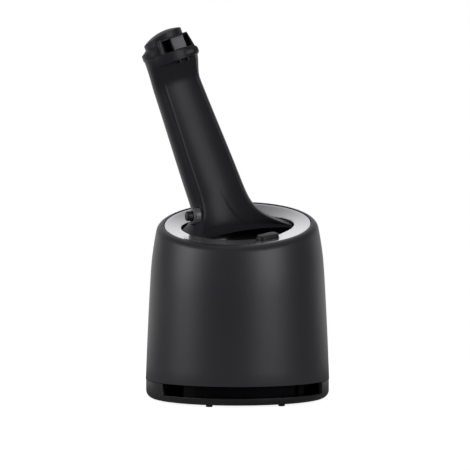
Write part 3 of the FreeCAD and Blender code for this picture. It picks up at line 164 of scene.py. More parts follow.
def carve(piece, matrix, halves, dent):
    # pushes the front of the selected ring back to the edge of an oval space, with a soft ridge;
    # the push ends at a share of the ring's own half width, so that the tower stays solid behind it
    middle, halfX, halfY, softLeft, softRight, fade = dent
    most = 0.85
    back = matrix.inverted()
    centre = back @ middle
    for vert in bmesh.from_edit_mesh(piece.data).verts:
        spot = back @ vert.co if vert.select else None
        if spot is None or spot.y > 0:
            continue
        share = (spot.x - centre.x) / halfX
        if abs(share) >= 1:
            continue
        edge = centre.y + halfY * math.sqrt(1 - share ** 2)
        soft = softLeft if spot.x < centre.x else softRight
        limit = most * halves[1] * math.sqrt(max(0, 1 - (spot.x / halves[0]) ** 2))
        deep = (spot.y + edge + math.sqrt((spot.y - edge) ** 2 + soft ** 2)) / 2
        blend = easedShare(1 - abs(share), 0, fade) if fade else 1
        spot.y = max(spot.y, spot.y + (min(deep, limit) - spot.y) * blend)
        vert.co = matrix @ spot
    bmesh.update_edit_mesh(piece.data)


def loft(name, rings, sides=facets["key"], closed=False, dents=None):
    # bridges circles that are given as a matrix and two half widths; closed joins the last to the first,
    # and dents gives the space that is carved out of each circle
    deselectAll()
    rings = apart(rings)
    matrix, halfX, halfY = rings[0]
    addCircle(matrix, halfX, sides)
    piece = named(name)
    applyPlace(piece)
    bpy.ops.object.mode_set(mode="EDIT")
    bpy.ops.mesh.select_mode(type="VERT")
    bpy.ops.mesh.select_all(action="SELECT")
    flatten(matrix, halfY / halfX)
    for number, (matrix, halfX, halfY) in enumerate(rings):
        if number:
            addCircle(matrix, halfX, sides)
            flatten(matrix, halfY / halfX)
        if dents and dents[number]:
            carve(piece, matrix, (halfX, halfY), dents[number])
    pairs = [(i, i + 1) for i in range(len(rings) - 1)]
    if closed:
        pairs.append((len(rings) - 1, 0))
    for pair in pairs:
        selectRings(piece, pair, sides)
        bpy.ops.mesh.bridge_edge_loops()
    if not closed:
        for number in (0, len(rings) - 1):
            selectRings(piece, (number,), sides)
            bpy.ops.mesh.edge_face_add()
    bpy.ops.mesh.select_all(action="SELECT")
    bpy.ops.mesh.normals_make_consistent(inside=False)
    deselectAll()
    return piece


def lathe(name, outline, matrix=flat, sides=facets["key"], closed=True):
    # turned piece: outline is radius and height pairs along the frame's Z axis
    rings = [(matrix @ Matrix.Translation((0, 0, z)), r, r) for r, z in outline]
    return loft(name, rings, sides, closed)


def bar(name, matrix, halfX, halfY, low, high, sides=facets["key"]):
    # round or oval rod between two heights of a frame
    ends = [(matrix @ Matrix.Translation((0, 0, z)), halfX, halfY) for z in (low, high)]
    return loft(name, ends, sides)


def block(name, size, middle, matrix=flat):
    # box in a frame, given by its size and middle
    deselectAll()
    bpy.ops.mesh.primitive_cube_add(size=1, location=middle, scale=size)
    piece = named(name)
    applyPlace(piece)
    return place(piece, matrix)


def bevelEdges(piece, width, segments, chosen):
    # rounds the edges that a test picks out by their two ends
    choose(piece, "EDGE", chosen)
    bpy.ops.mesh.bevel(offset=width, segments=segments, affect="EDGES")
    deselectAll()


def upright(a, b, least=0.001):
    # test for edges that rise or fall by more than a little
    return abs(a.z - b.z) > least


def atHeight(matrix, height):
    # test for edges whose two ends lie at a height of a frame
    back = matrix.inverted()
    return lambda a, b: abs((back @ a).z - height) < hair and abs((back @ b).z - height) < hair


def combine(piece, other, operation="DIFFERENCE"):
    # boolean with another piece, which is used up
    modifier = piece.modifiers.new("shape", "BOOLEAN")
    modifier.operation = operation
    modifier.solver = "EXACT"
    modifier.object = other
    activate(piece)
    bpy.ops.object.modifier_apply(modifier=modifier.name)
    bpy.data.objects.remove(other)


def soften(piece, width=0.0003, segments=3, angle=edging["sharp"]):
    # merges stray points, rounds every sharp edge a little and evens the shading
    activate(piece)
    bpy.ops.object.mode_set(mode="EDIT")
    bpy.ops.mesh.select_all(action="SELECT")
    bpy.ops.mesh.remove_doubles(threshold=hair)
    bpy.ops.object.mode_set(mode="OBJECT")
    bevel = piece.modifiers.new("edges", "BEVEL")
    bevel.width = width
    bevel.segments = segments
    bevel.limit_method = "ANGLE"
    bevel.angle_limit = math.radians(angle)
    bpy.ops.object.modifier_apply(modifier=bevel.name)
    bpy.ops.object.shade_smooth_by_angle(angle=math.radians(edging["smooth"]))


def fit(piece, body, slot, material, *replaced):
    # puts a finished piece on its body, in place of the solids that it stands for
    piece.data.materials.clear()
    piece.data.materials.append(material)
    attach(piece, body)
    if replaced:
        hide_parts(*replaced)
    print("piece", piece.name, len(piece.data.polygons))


def maths(tree, operation, *sources):
    # maths node on sockets or numbers
    node = tree.nodes.new("ShaderNodeMath")
    node.operation = operation
    for socket, source in zip(node.inputs, sources):
        if isinstance(source, (int, float)):
            socket.default_value = source
        else:
            tree.links.new(source, socket)
    return node.outputs[0]


def groupSocket(group, name, inOut, kind, default=None):
    socket = group.interface.new_socket(name=name, in_out=inOut, socket_type=kind)
    if default is not None:
        socket.default_value = default


def addBump(group, strength, height, distance):
    bump = group.nodes.new("ShaderNodeBump")
    bump.inputs["Distance"].default_value = distance
    group.links.new(strength, bump.inputs["Strength"])
    group.links.new(height, bump.inputs["Height"])
    return bump.outputs["Normal"]


def makeGrain():
    # moulded grain: fine bumps, soft cloudy gloss and a little colour drift
    group = bpy.data.node_groups.new("mouldedGrain", "ShaderNodeTree")
    for name, default in (("Grain Scale", 2500.0), ("Bump", 0.1), ("Roughness", 0.4), ("Spread", 0.05),
                          ("Drift", 0.06)):
        groupSocket(group, name, "INPUT", "NodeSocketFloat", default)
    groupSocket(group, "Color", "INPUT", "NodeSocketColor", (0.05, 0.05, 0.05, 1))
    groupSocket(group, "Color", "OUTPUT", "NodeSocketColor")
    groupSocket(group, "Roughness", "OUTPUT", "NodeSocketFloat")
    groupSocket(group, "Normal", "OUTPUT", "NodeSocketVector")
    add, link = group.nodes.new, group.links.new
    inputs, outputs = add("NodeGroupInput"), add("NodeGroupOutput")
    coords = add("ShaderNodeTexCoord")
    fine, cloud = add("ShaderNodeTexNoise"), add("ShaderNodeTexNoise")
    fine.inputs["Detail"].default_value = 3.0
    cloud.inputs["Scale"].default_value = 38.0
    cloud.inputs["Detail"].default_value = 4.0
    link(coords.outputs["Object"], fine.inputs["Vector"])
    link(coords.outputs["Object"], cloud.inputs["Vector"])
    link(inputs.outputs["Grain Scale"], fine.inputs["Scale"])
    bumped = addBump(group, inputs.outputs["Bump"], fine.outputs["Fac"], 0.00006)
    link(bumped, outputs.inputs["Normal"])
    centred = maths(group, "SUBTRACT", cloud.outputs["Fac"], 0.5)
    rough = maths(group, "MULTIPLY_ADD", centred, inputs.outputs["Spread"], inputs.outputs["Roughness"])
    link(rough, outputs.inputs["Roughness"])
    tint = add("ShaderNodeHueSaturation")
    link(maths(group, "MULTIPLY_ADD", centred, inputs.outputs["Drift"], 1.0), tint.inputs["Value"])
    link(inputs.outputs["Color"], tint.inputs["Color"])
    link(tint.outputs["Color"], outputs.inputs["Color"])
    return group


def makeBrush():
    # brushed metal: long fine streaks along an axis
    group = bpy.data.node_groups.new("brushedStreaks", "ShaderNodeTree")
    for name, default in (("Roughness", 0.25), ("Spread", 0.15), ("Bump", 0.15)):
        groupSocket(group, name, "INPUT", "NodeSocketFloat", default)
    groupSocket(group, "Roughness", "OUTPUT", "NodeSocketFloat")
    groupSocket(group, "Normal", "OUTPUT", "NodeSocketVector")
    add, link = group.nodes.new, group.links.new
    inputs, outputs = add("NodeGroupInput"), add("NodeGroupOutput")
    coords, mapping, streak = add("ShaderNodeTexCoord"), add("ShaderNodeMapping"), add("ShaderNodeTexNoise")
    mapping.inputs["Scale"].default_value = (900, 900, 60)
    streak.inputs["Detail"].default_value = 2.0
    link(coords.outputs["Object"], mapping.inputs["Vector"])
    link(mapping.outputs["Vector"], streak.inputs["Vector"])
    rough = maths(group, "MULTIPLY_ADD", streak.outputs["Fac"], inputs.outputs["Spread"],
                  inputs.outputs["Roughness"])
    link(rough, outputs.inputs["Roughness"])
    bumped = addBump(group, inputs.outputs["Bump"], streak.outputs["Fac"], 0.00004)
    link(bumped, outputs.inputs["Normal"])
    return group


grainGroup = makeGrain()
brushGroup = makeBrush()


def finish(name, group, color, settings):
    # material with one of the effects on its shader
    material = bpy.data.materials.new(name)
    material.use_nodes = True
    material.diffuse_color = (*color, 1)
    tree = material.node_tree
    shader = tree.nodes["Principled BSDF"]
    effect = tree.nodes.new("ShaderNodeGroup")
    effect.node_tree = group
    for socket, amount in settings.items():
        effect.inputs[socket].default_value = amount
    tree.links.new(effect.outputs["Roughness"], shader.inputs["Roughness"])
    tree.links.new(effect.outputs["Normal"], shader.inputs["Normal"])
    return material, shader, effect


def plastic(name, color, roughness, bump=0.1, scale=2500.0, spread=0.05, drift=0.06, specular=0.5):
    settings = {"Grain Scale": scale, "Bump": bump, "Roughness": roughness, "Spread": spread,
                "Drift": drift, "Color": (*color, 1)}
    material, shader, effect = finish(name, grainGroup, color, settings)
    material.node_tree.links.new(effect.outputs["Color"], shader.inputs["Base Color"])
    shader.inputs["Specular IOR Level"].default_value = specular
    return material


def metal(name, color, roughness, spread=0.15, bump=0.15, metallic=1.0):
    settings = {"Roughness": roughness, "Spread": spread, "Bump": bump}
    material, shader, _ = finish(name, brushGroup, color, settings)
    shader.inputs["Base Color"].default_value = (*color, 1)
    shader.inputs["Metallic"].default_value = metallic
    return material


finishes = {
    "shell": plastic("anthraciteSatin", (0.031, 0.0285, 0.0345), 0.42, bump=0.12, scale=3000, specular=0.45),
    "ring": metal("polishedSilver", (0.72, 0.72, 0.75), 0.12, spread=0.05, bump=0.02, metallic=0.88),
    "tower": plastic("towerBlack", (0.026, 0.025, 0.030), 0.38, bump=0.05, scale=3500, specular=0.17),
    "tub": plastic("tubGloss", (0.010, 0.010, 0.012), 0.14, bump=0.02, spread=0.04),
    "cap": plastic("capBlack", (0.020, 0.0195, 0.023), 0.45, bump=0.05, specular=0.3),
    "contact_grey": plastic("contactGrey", (0.10, 0.10, 0.11), 0.45, bump=0.15),
    "button_grey": plastic("buttonGrey", (0.105, 0.104, 0.112), 0.33, bump=0.08),
    "button_black": plastic("buttonBlack", (0.014, 0.014, 0.016), 0.42, bump=0.04, specular=0.3),
    "base": plastic("baseDark", (0.013, 0.0125, 0.015), 0.38, bump=0.10, scale=3000),
    # cartridge: black plastic darkened further as painted shade, so that it merges with the shadowed openings
    # of its slot
    "cartridge": plastic("cartridgeBlackSlotShade", (0.003, 0.003, 0.004), 0.35, bump=0.03, specular=0.06),
    "filter": plastic("filterFelt", (0.62, 0.61, 0.57), 0.9, bump=1.0, scale=900, drift=0.3),
    "rubber": plastic("footRubber", (0.012, 0.012, 0.012), 0.7, bump=0.4, scale=1800),
    "steel": metal("springSteel", (0.60, 0.60, 0.61), 0.22),
    # contact pins: dark dull metal as painted shade, for the shadow under the nose that hides them
    "brass": metal("contactPinsPaintedShade", (0.07, 0.065, 0.06), 0.45, spread=0.08, bump=0.05),
    "frame": plastic("frameNylon", (0.11, 0.11, 0.115), 0.5, bump=0.2),
    "board": plastic("boardMask", (0.012, 0.10, 0.045), 0.35, bump=0.1, drift=0.2),
    "works": plastic("worksBlack", (0.022, 0.022, 0.024), 0.45, bump=0.2),
}
print("materials", len(finishes))


# drum: seat and ledge are heights over the deck
drum = {"low": 0.014, "crown": 0.136, "lowRadius": 0.062, "topRadius": 0.0552, "bow": 3.0, "wall": 0.002,
        "steps": 9, "shoulder": 0.0038, "shoulderLow": 0.096, "shoulderIn": 0.957, "shoulderReach": 0.032,
        "shoulderCuts": (0.25, 0.35, 0.5, 0.7, 1.0), "seatRadius": 0.0498, "seat": -0.0028,
        "ledgeRadius": 0.044, "ledge": -0.0051}


def drumRadius(z):
    # straight side from the lower edge to the crown, plus its faint bow
    length = drum["crown"] - drum["low"]
    along = (z - drum["low"]) / length
    chord = drum["lowRadius"] + (drum["topRadius"] - drum["lowRadius"]) * along
    return chord + length ** 2 * along * (1 - along) / (2 * drum["bow"])


def deckBlock(low):
    # everything over a height of the deck
    return block("deckCutter", (cutter, cutter, cutter), (0, 0, low + cutter / 2), deckFrame)


def drawIn(piece, scale, reach):
    # makes the edge at the deck narrower and lets the wall below follow it
    piece.data.transform(deckFrame.inverted())
    activate(piece)
    bpy.ops.object.mode_set(mode="EDIT")
    for share in drum["shoulderCuts"]:
        bpy.ops.mesh.select_all(action="SELECT")
        bpy.ops.mesh.bisect(plane_co=(0, 0, -share * reach), plane_no=(0, 0, 1))
    choose(piece, "VERT", lambda spot: abs(spot.z) < hair)
    bpy.ops.transform.resize(value=(scale, scale, 1), center_override=(0, 0, 0), use_proportional_edit=True,
                             proportional_edit_falloff="SHARP", proportional_size=reach)
    bpy.ops.object.mode_set(mode="OBJECT")
    piece.data.transform(deckFrame)


def makeDrum():
    rise = (drum["shoulderLow"] - drum["low"]) / drum["steps"]
    heights = [drum["low"] + rise * i for i in range(drum["steps"] + 1)]
    heights.append(drum["crown"])
    shell = lathe("drumShell", [(drumRadius(z), z) for z in heights], sides=facets["drum"], closed=False)
    combine(shell, deckBlock(0))
    drawIn(shell, drum["shoulderIn"], drum["shoulderReach"])
    bevelEdges(shell, drum["shoulder"], 12, atHeight(deckFrame, 0))
    below = drum["low"] - beyond / 2
    inner = [(drumRadius(max(z, drum["low"])) - drum["wall"], z) for z in [below, *heights]]
    hollow = lathe("drumHollow", inner, sides=facets["drum"], closed=False)
    combine(hollow, deckBlock(drum["ledge"]))
    combine(shell, hollow)
    for radius, low in ((drum["seatRadius"], drum["seat"]), (drum["ledgeRadius"], -beyond)):
        combine(shell, bar("ringSeat", deckFrame, radius, radius, low, beyond, facets["oval"]))
    combine(shell, block("socketPort", inlet["port"], inlet["portMiddle"]))
    halfX, halfZ = (half + lift["gap"] for half in lift["halves"])
    combine(shell, bar("liftPort", backward(lift["rear"], lift["height"]), halfX, halfZ, *lift["port"],
                       facets["hole"]))
    soften(shell, 0.0004)
    fit(shell, "housing", "shell", finishes["shell"], "outer_shell")


def backward(y, z):
    # frame with +Z into the drum from the rear
    return Matrix.Translation((0, y, z)) @ Matrix.Rotation(math.radians(90), 4, "X")


# trim ring, start button and tub: heights are over the deck
ring = {"radius": 0.0495, "edge": -0.0003, "lip": 0.0004, "dish": -0.0036, "inner": 0.0256, "steps": 10,
        "ovalX": 0.0384, "ovalY": 0.0276, "thick": 0.0025, "thin": 0.0015, "lap": 0.043}
startKey = {"length": 0.016, "width": 0.008, "spot": (0.0165, -0.0315, 0), "turn": 30, "corner": 0.0034,
            "low": -0.0036, "high": 0.0007, "edge": 0.0012, "gap": 0.00035, "port": (-0.012, 0.008)}
tub = {"drain": (0, -0.004, -0.029),
       "rings": ((-0.0051, 0.0455, 0.0455, 0), (-0.0071, 0.0455, 0.0455, 0), (-0.0071, 0.0406, 0.0298, 0),
                 (-0.0142, 0.0406, 0.0298, 0), (-0.0142, 0.0376, 0.0268, 0), (-0.0312, 0.0326, 0.0218, 0),
                 (-0.0312, 0.0025, 0.0025, -0.004), (-0.029, 0.0025, 0.0025, -0.004),
                 (-0.029, 0.0120, 0.0090, -0.002), (-0.029, 0.0268, 0.0160, 0), (-0.0285, 0.0288, 0.0180, 0),
                 (-0.0272, 0.0301, 0.0193, 0), (-0.0255, 0.0311, 0.0203, 0), (-0.012, 0.0354, 0.0246, 0),
                 (-0.012, 0.0384, 0.0276, 0), (-0.0051, 0.0384, 0.0276, 0))}


def ringHeight(radius):
    share = (ring["radius"] - radius) / (ring["radius"] - ring["ovalY"])
    return ring["edge"] + (ring["dish"] - ring["edge"]) * share


def startBlock(name, grow, low, high):
    size = (startKey["length"] + 2 * grow, startKey["width"] + 2 * grow, high - low)
    turn = Matrix.Translation(startKey["spot"]) @ Matrix.Rotation(math.radians(startKey["turn"]), 4, "Z")
    key = block(name, size, (0, 0, (low + high) / 2))
    bevelEdges(key, startKey["corner"] + grow, 10, upright)
    return place(key, deckFrame @ turn)


def makeRing():
    widest, inner, edge = ring["radius"] - ring["lip"], ring["inner"], ring["edge"]
    radii = [widest - (widest - inner) * i / ring["steps"] for i in range(ring["steps"] + 1)]
    top = [(r, ringHeight(r)) for r in radii]
    outer = [(ring["radius"], edge - ring["lip"]), (ring["radius"], edge - ring["thick"])]
    under = [(ring["lap"], edge - ring["thick"]), (ring["lap"], ringHeight(ring["lap"]) - ring["thin"]),
             (inner, ringHeight(inner) - ring["thin"])]
    trim = lathe("trimRing", [*reversed(top), *outer, *under], deckFrame, facets["drum"])
    combine(trim, bar("ringOval", deckFrame, ring["ovalX"], ring["ovalY"], -beyond, beyond, facets["drum"]))
    combine(trim, startBlock("startPort", startKey["gap"], *startKey["port"]))
    soften(trim, 0.00035, 4)
    fit(trim, "housing", "ring", finishes["ring"], "trim_ring")


def makeTub():
    # each ring has a height over the deck, two half widths and a shift to the rear
    rings = [(deckFrame @ Matrix.Translation((0, shift, height)), halfX, halfY)
             for height, halfX, halfY, shift in tub["rings"]]
    piece = loft("washTub", rings, facets["oval"], closed=True)
    soften(piece, 0.0004, 3, 40)
    fit(piece, "housing", "tub", finishes["tub"], "cleaning_tub")


# tower: heights of stem, cheek, nose and hood run along its axis, those of the foot's rim over the deck
foot = {"halfX": 0.0382, "halfY": 0.0274, "rim": -0.0032, "rate": 5.0, "ease": 1.35, "steps": 26,
        "top": 0.024, "inset": 0.0012, "underTilt": 5.5, "underLeft": -0.012, "underDeep": 0.1,
        "rimRings": ((-0.021, 0), (-0.004, 0), (-0.0022, 0.0001), (-0.0010, 0.0005))}
stem = {"halves": ((0.024, 0.0194), (0.061, 0.0180), (0.095, 0.0166), (0.1248, 0.0160)), "depth": 0.96,
        "step": 0.0058, "steps": 13,
        "heights": (0.0985, 0.1015, 0.1045, 0.1075, 0.1105, 0.1129, 0.1131, 0.1160, 0.1195, 0.1200, 0.1205,
                    0.1210, 0.1215, 0.1248)}
trough = {"halfX": 0.022, "halfY": 0.014, "middle": -0.0222, "high": 0.113, "scoopX": 0.0375, "scoopY": 0.024,
          "scoopSpot": (0.0078, -0.016, -0.0032), "ramp": 0.098, "rampEnd": 0.117, "rampReach": 0.0074,
          "softLeft": 0.004, "softRight": 0.0012, "softTrunk": 0.0016, "fade": 0.25}
cheek = {"low": 0.097, "high": 0.116, "top": 0.1195, "end": 0.1215, "grow": 0.0020, "right": 0.0011,
         "front": 0.0046}
nose = {"left": -0.0135, "right": 0.0182, "reach": 0.021, "leftCorner": 0.0118, "rightCorner": 0.0078,
        "low": 0.113, "high": 0.1195, "lip": 0.0026}
hood = {"half": 0.0126, "right": 0.0036, "reach": 0.0188, "narrowing": 0.0018, "corner": 0.003,
        "low": 0.1183, "high": 0.1299, "recessHalf": 0.0098, "recessLow": 0.1202, "recessHigh": 0.129,
        "recessBack": -0.015, "slotBack": -0.006, "slotInset": 0.0003}
rearHalf = {"size": (0.2, 0.1, 0.2), "middle": (0, 0.05, 0.124)}


def towerHalf(height):
    # smooth curve through the tower's half widths
    total = 0.0
    for number, (knot, term) in enumerate(stem["halves"]):
        for otherNumber, (other, _) in enumerate(stem["halves"]):
            if number != otherNumber:
                term *= (height - other) / (knot - other)
        total += term
    return total


def deckPoint(middle):
    # where a line along the tower, at a distance behind its middle, meets the rim of the foot
    start = towerFrame @ Vector((0, middle, 0))
    axis = towerFrame.to_3x3() @ Vector((0, 0, 1))
    inDeck = deckFrame.inverted() @ start
    along = (deckFrame.to_3x3().inverted() @ axis).z
    return start + axis * (foot["rim"] - inDeck.z) / along


def flareRings(steps, middle, head, wide, spot):
    # rings that widen from the head's oval on the tower down to a wide oval on the deck
    low, high = deckPoint(middle), towerFrame @ Vector((0, middle, foot["top"]))
    oval = deckFrame @ Vector(spot)
    first, last = deckFrame.to_quaternion(), towerFrame.to_quaternion()
    rings = []
    for i in range(steps):
        along = (i / steps) ** foot["ease"]
        share = (math.exp(-foot["rate"] * along) - math.exp(-foot["rate"])) / (1 - math.exp(-foot["rate"]))
        centre = low + (high - low) * along + (oval - low) * share
        turn = first.slerp(last, along).to_matrix().to_4x4()
        rings.append((Matrix.Translation(centre) @ turn, head[0] + (wide[0] - head[0]) * share,
                      head[1] + (wide[1] - head[1]) * share))
    return rings


def stemRing(height):
    # the tower's section, which swells to the front and right under its head
    if height < cheek["top"]:
        swell = easedShare(height, cheek["low"], cheek["high"])
    else:
        swell = 1 - easedShare(height, cheek["top"], cheek["end"])
    shift = Matrix.Translation((cheek["right"] * swell, -cheek["front"] * swell, height))
    half = towerHalf(height) + cheek["grow"] * swell
    return towerFrame @ shift, half, half * stem["depth"]


def stemDent(height):
    # the trough's oval, whose floor comes forward in a ramp under the head
    if height > trough["high"]:
        return None
    forward = trough["rampReach"] * easedShare(height, trough["ramp"], trough["rampEnd"])
    middle = towerFrame @ Vector((0, trough["middle"] - forward, height))
    return middle, trough["halfX"], trough["halfY"], trough["softTrunk"], trough["softRight"], 0


def footBody():
    # rings of the foot with its rounded rim, and the space of the scoop in each of them
    halfX, halfY, steps = foot["halfX"], foot["halfY"], foot["steps"]
    rings, dents = [], []
    middle = Vector(trough["scoopSpot"])
    size = (trough["scoopX"], trough["scoopY"])
    for low, inset in foot["rimRings"]:
        low += foot["rim"]
        rings.append((deckFrame @ Matrix.Translation((0, 0, low)), halfX - inset, halfY - inset))
        dents.append((deckFrame @ Vector((middle.x, middle.y, low)), *size, trough["softLeft"],
                      trough["softRight"], trough["fade"]))
    head = (towerHalf(foot["top"]), towerHalf(foot["top"]) * stem["depth"])
    wide = (halfX - foot["inset"], halfY - foot["inset"])
    outer = flareRings(steps, 0, head, wide, (0, 0, foot["rim"]))
    inner = flareRings(steps, trough["middle"], (trough["halfX"], trough["halfY"]), size,
                       trough["scoopSpot"])
    for number, (oval, space) in enumerate(zip(outer, inner)):
        soft = trough["softLeft"] + (trough["softTrunk"] - trough["softLeft"]) * (number / steps) ** 2
        rings.append(oval)
        fade = trough["fade"] * (1 - number / steps)
        dents.append((space[0].translation, *space[1:], soft, trough["softRight"], fade))
    return rings, dents


def makeNose():
    left, right, low, high = nose["left"], nose["right"], nose["low"], nose["high"]
    key = block("nose", (right - left, nose["reach"], high - low),
                ((right + left) / 2, -nose["reach"] / 2, (high + low) / 2))
    front = -nose["reach"] / 2
    bevelEdges(key, nose["leftCorner"], 14, lambda a, b: upright(a, b) and a.y < front and a.x < 0)
    bevelEdges(key, nose["rightCorner"], 10, lambda a, b: upright(a, b) and a.y < front and a.x > 0)
    bevelEdges(key, nose["lip"], 6, lambda a, b: not upright(a, b, 0.0001) and min(a.y, b.y) < -0.001)
    return place(key, towerFrame)


def makeHood(name):
    # block in front of the tower's axis with round front corners, narrower towards its top
    half, reach, low, high = hood["half"], hood["reach"], hood["low"], hood["high"]
    middle = (0, -reach / 2, (low + high) / 2)
    key = block(name, (2 * half, reach, high - low), middle)
    choose(key, "VERT", lambda spot: spot.z > middle[2])
    shares = ((half - hood["narrowing"]) / half, (reach - hood["narrowing"]) / reach, 1)
    bpy.ops.transform.resize(value=shares, center_override=(0, 0, 0))
    bevelEdges(key, hood["corner"], 10, lambda a, b: upright(a, b) and a.y < middle[1])
    return place(key, towerFrame @ Matrix.Translation((hood["right"], 0, 0)))


def recessBlock(name, left, right, back, inset=0.0):
    # space in the hood from its front to a given depth
    low, high = hood["recessLow"] + inset, hood["recessHigh"] - inset
    return block(name, (right - left, beyond, high - low),
                 ((left + right) / 2, back - beyond / 2, (low + high) / 2), towerFrame)


def makeTower():
    rings, dents = footBody()
    for height in [*(foot["top"] + stem["step"] * i for i in range(stem["steps"])), *stem["heights"]]:
        rings.append(stemRing(height))
        dents.append(stemDent(height))
    front = loft("towerFront", rings, facets["drum"], dents=dents)
    # the foot's underside rises from left to right
    deep = foot["underDeep"]
    under = deckFrame @ Matrix.Translation((-foot["halfX"], 0, foot["underLeft"]))
    tilt = Matrix.Rotation(-math.radians(foot["underTilt"]), 4, "Y")
    combine(front, block("footUnder", (cutter, cutter, deep), (0, 0, -deep / 2), under @ tilt))
    combine(front, makeNose(), "UNION")
    combine(front, makeHood("hood"), "UNION")
    left, right = hood["right"] - hood["recessHalf"], hood["right"] + hood["recessHalf"]
    combine(front, recessBlock("contactRecess", left, right, hood["recessBack"]))
    # slots beside the contact block, set in a hair from the recess
    inset = hood["slotInset"]
    for low, high in ((left + inset, contact["right"] - contact["half"]),
                      (contact["right"] + contact["half"], right - inset)):
        combine(front, recessBlock("sideSlot", low, high, hood["slotBack"], inset))
    for side in (-1, 1):
        combine(front, pinBar("pinPort", side, *contact["nosePort"]))
    combine(front, bar("bezelPort", bezelFrame, *bezel["port"], facets["hole"]))
    activate(front)
    bpy.ops.object.duplicate()
    rear = named("towerRear")
    combine(front, block("rearHalf", rearHalf["size"], rearHalf["middle"], towerFrame))
    combine(rear, block("rearHalf", rearHalf["size"], rearHalf["middle"], towerFrame), "INTERSECT")
    soften(front, 0.0006, 4)
    soften(rear)
    fit(front, "housing", "tower", finishes["tower"], "tower_front")
    fit(rear, "housing", "tower", finishes["tower"], "tower_rear")


# cap and contact block on the head
cap = {"low": 0.1248, "rings": ((0, 0, 0.0156), (0.0019, 0.0027, 0.0139), (0.0019, 0.014, 0.0139)),
       "domeRadius": 0.03, "domeMiddle": (0.0052, -0.002, 0.1064), "domeFrom": 100, "domeStep": 1.25,
       "domeSteps": 80}
contact = {"half": 0.0046, "height": 0.0084, "depth": 0.003, "right": 0.0052, "pinSpread": 0.0029,
           "pinPort": 0.00115, "nosePort": (0.108, 0.1218), "blockPort": (0.110, 0.1263)}


def makeCap():
    # each ring has a shift to the right, a height over the tower and a radius
    rings = [(towerFrame @ Matrix.Translation((right, 0, cap["low"] + height)), radius, radius)
             for right, height, radius in cap["rings"]]
    piece = loft("headCap", rings, facets["oval"])
    radius = cap["domeRadius"]
    angles = [math.radians(cap["domeFrom"] - cap["domeStep"] * i) for i in range(cap["domeSteps"])]
    ball = [(radius * math.sin(angle), radius * math.cos(angle)) for angle in angles]
    ball = [(ball[0][0], -radius), *ball]
    dome = lathe("capDome", ball, towerFrame @ Matrix.Translation(cap["domeMiddle"]), facets["drum"],
                 closed=False)
    combine(piece, dome, "INTERSECT")
    combine(piece, makeHood("capNotch"))
    soften(piece, 0.0011, 5, 25)
    fit(piece, "housing", "cap", finishes["cap"], "tower_cap")


def blockMiddle():
    # middle of the contact block, front to back
    return hood["recessBack"] - contact["depth"] / 2


def pinBar(name, side, low, high):
    # rod where a contact pin runs, at the left or right of the block's middle
    right = contact["right"] + side * contact["pinSpread"]
    pinPlace = towerFrame @ Matrix.Translation((right, blockMiddle(), 0))
    return bar(name, pinPlace, contact["pinPort"], contact["pinPort"], low, high, facets["pin"])


def makeContactBlock():
    size = (2 * contact["half"], contact["depth"], contact["height"])
    middle = (contact["right"], blockMiddle(), hood["recessLow"] + contact["height"] / 2)
    piece = block("contactBlock", size, middle, towerFrame)
    for side in (-1, 1):
        combine(piece, pinBar("pinBore", side, *contact["blockPort"]))
    soften(piece, 0.0004, 4)
    fit(piece, "housing", "contact_grey", finishes["contact_grey"], "contact_block")


# plate and button on the foot's left flank
bezel = {"azimuth": 195, "spot": (-0.0296, 0.002, 0), "rise": 0.0056,
         "port": (0.0052, 0.0062, -0.0041, 0.012),
         "plate": ((-0.004, 0.0046, 0.0056), (0.0007, 0.0046, 0.0056), (0.0011, 0.0043, 0.0053),
                   (0.0012, 0.0040, 0.0050), (0.0010, 0.00355, 0.00355), (-0.0022, 0.003475, 0.003475)),
         "button": ((0.0033, -0.0004), (0.0033, 0.0044), (0.0031, 0.00495), (0.0027, 0.0053),
                    (0.0020, 0.0054), (0.0010, 0.0052), (0.0001, 0.0051))}


def makeStartButton():
    piece = startBlock("startButton", 0, startKey["low"], startKey["high"])
    bevelEdges(piece, startKey["edge"], 6, atHeight(deckFrame, startKey["high"]))
    soften(piece, 0.0002, 2, 50)
    fit(piece, "start_button", "button_black", finishes["button_black"], "start_button")


def makeBezelFrame():
    # Z points out of the foot's left flank and Y points up
    azimuth = math.radians(bezel["azimuth"])
    outward, up = Vector((math.cos(azimuth), math.sin(azimuth), 0)), Vector((0, 0, 1))
    spot = Vector(bezel["spot"])
    spot.z = (deckFrame @ spot).z + bezel["rise"]
    turn = Matrix((up.cross(outward), up, outward)).transposed().to_4x4()
    return Matrix.Translation(spot) @ turn


def makeQuickButton():
    # each ring of the plate has a height over the flank and two half widths
    rings = [(bezelFrame @ Matrix.Translation((0, 0, z)), halfX, halfY) for z, halfX, halfY in bezel["plate"]]
    plate = loft("quickBezel", rings)
    soften(plate, 0.0001, 2, 60)
    fit(plate, "housing", "button_grey", finishes["button_grey"], "quick_bezel")
    button = lathe("quickButton", bezel["button"], bezelFrame, closed=False)
    soften(button, 0.0001, 2, 60)
    fit(button, "quick_clean_button", "button_black", finishes["button_black"], "quick_clean_button")


# base, the skirt behind the cartridge, screw holes and feet
base = {"radius": 0.0618, "low": 0.0012, "round": 0.0052, "rim": 0.0137, "floor": 0.0034, "wall": 0.0024,
        "middle": 0.0001, "sill": 0.006, "slotHigh": 0.03, "slotRadius": 0.09, "slotAngle": 120}
skirt = {"outer": 0.0555, "inner": 0.0535, "sink": 0.0002, "high": 0.046, "angle": 130,
         "window": (0.0194, 0.08, 0.05), "windowMiddle": (0, 0.06, 0.045)}
screw = {"x": 0.048, "y": 0.008, "port": ((0.0032, 0), (0.0032, 0.003), (0.0015, 0.003), (0.0015, 0.006))}
pad = {"x": 0.024, "y": 0.05, "outline": ((0.0022, 0.0012), (0.0022, 0.0003), (0.0019, 0), (0.0002, 0))}


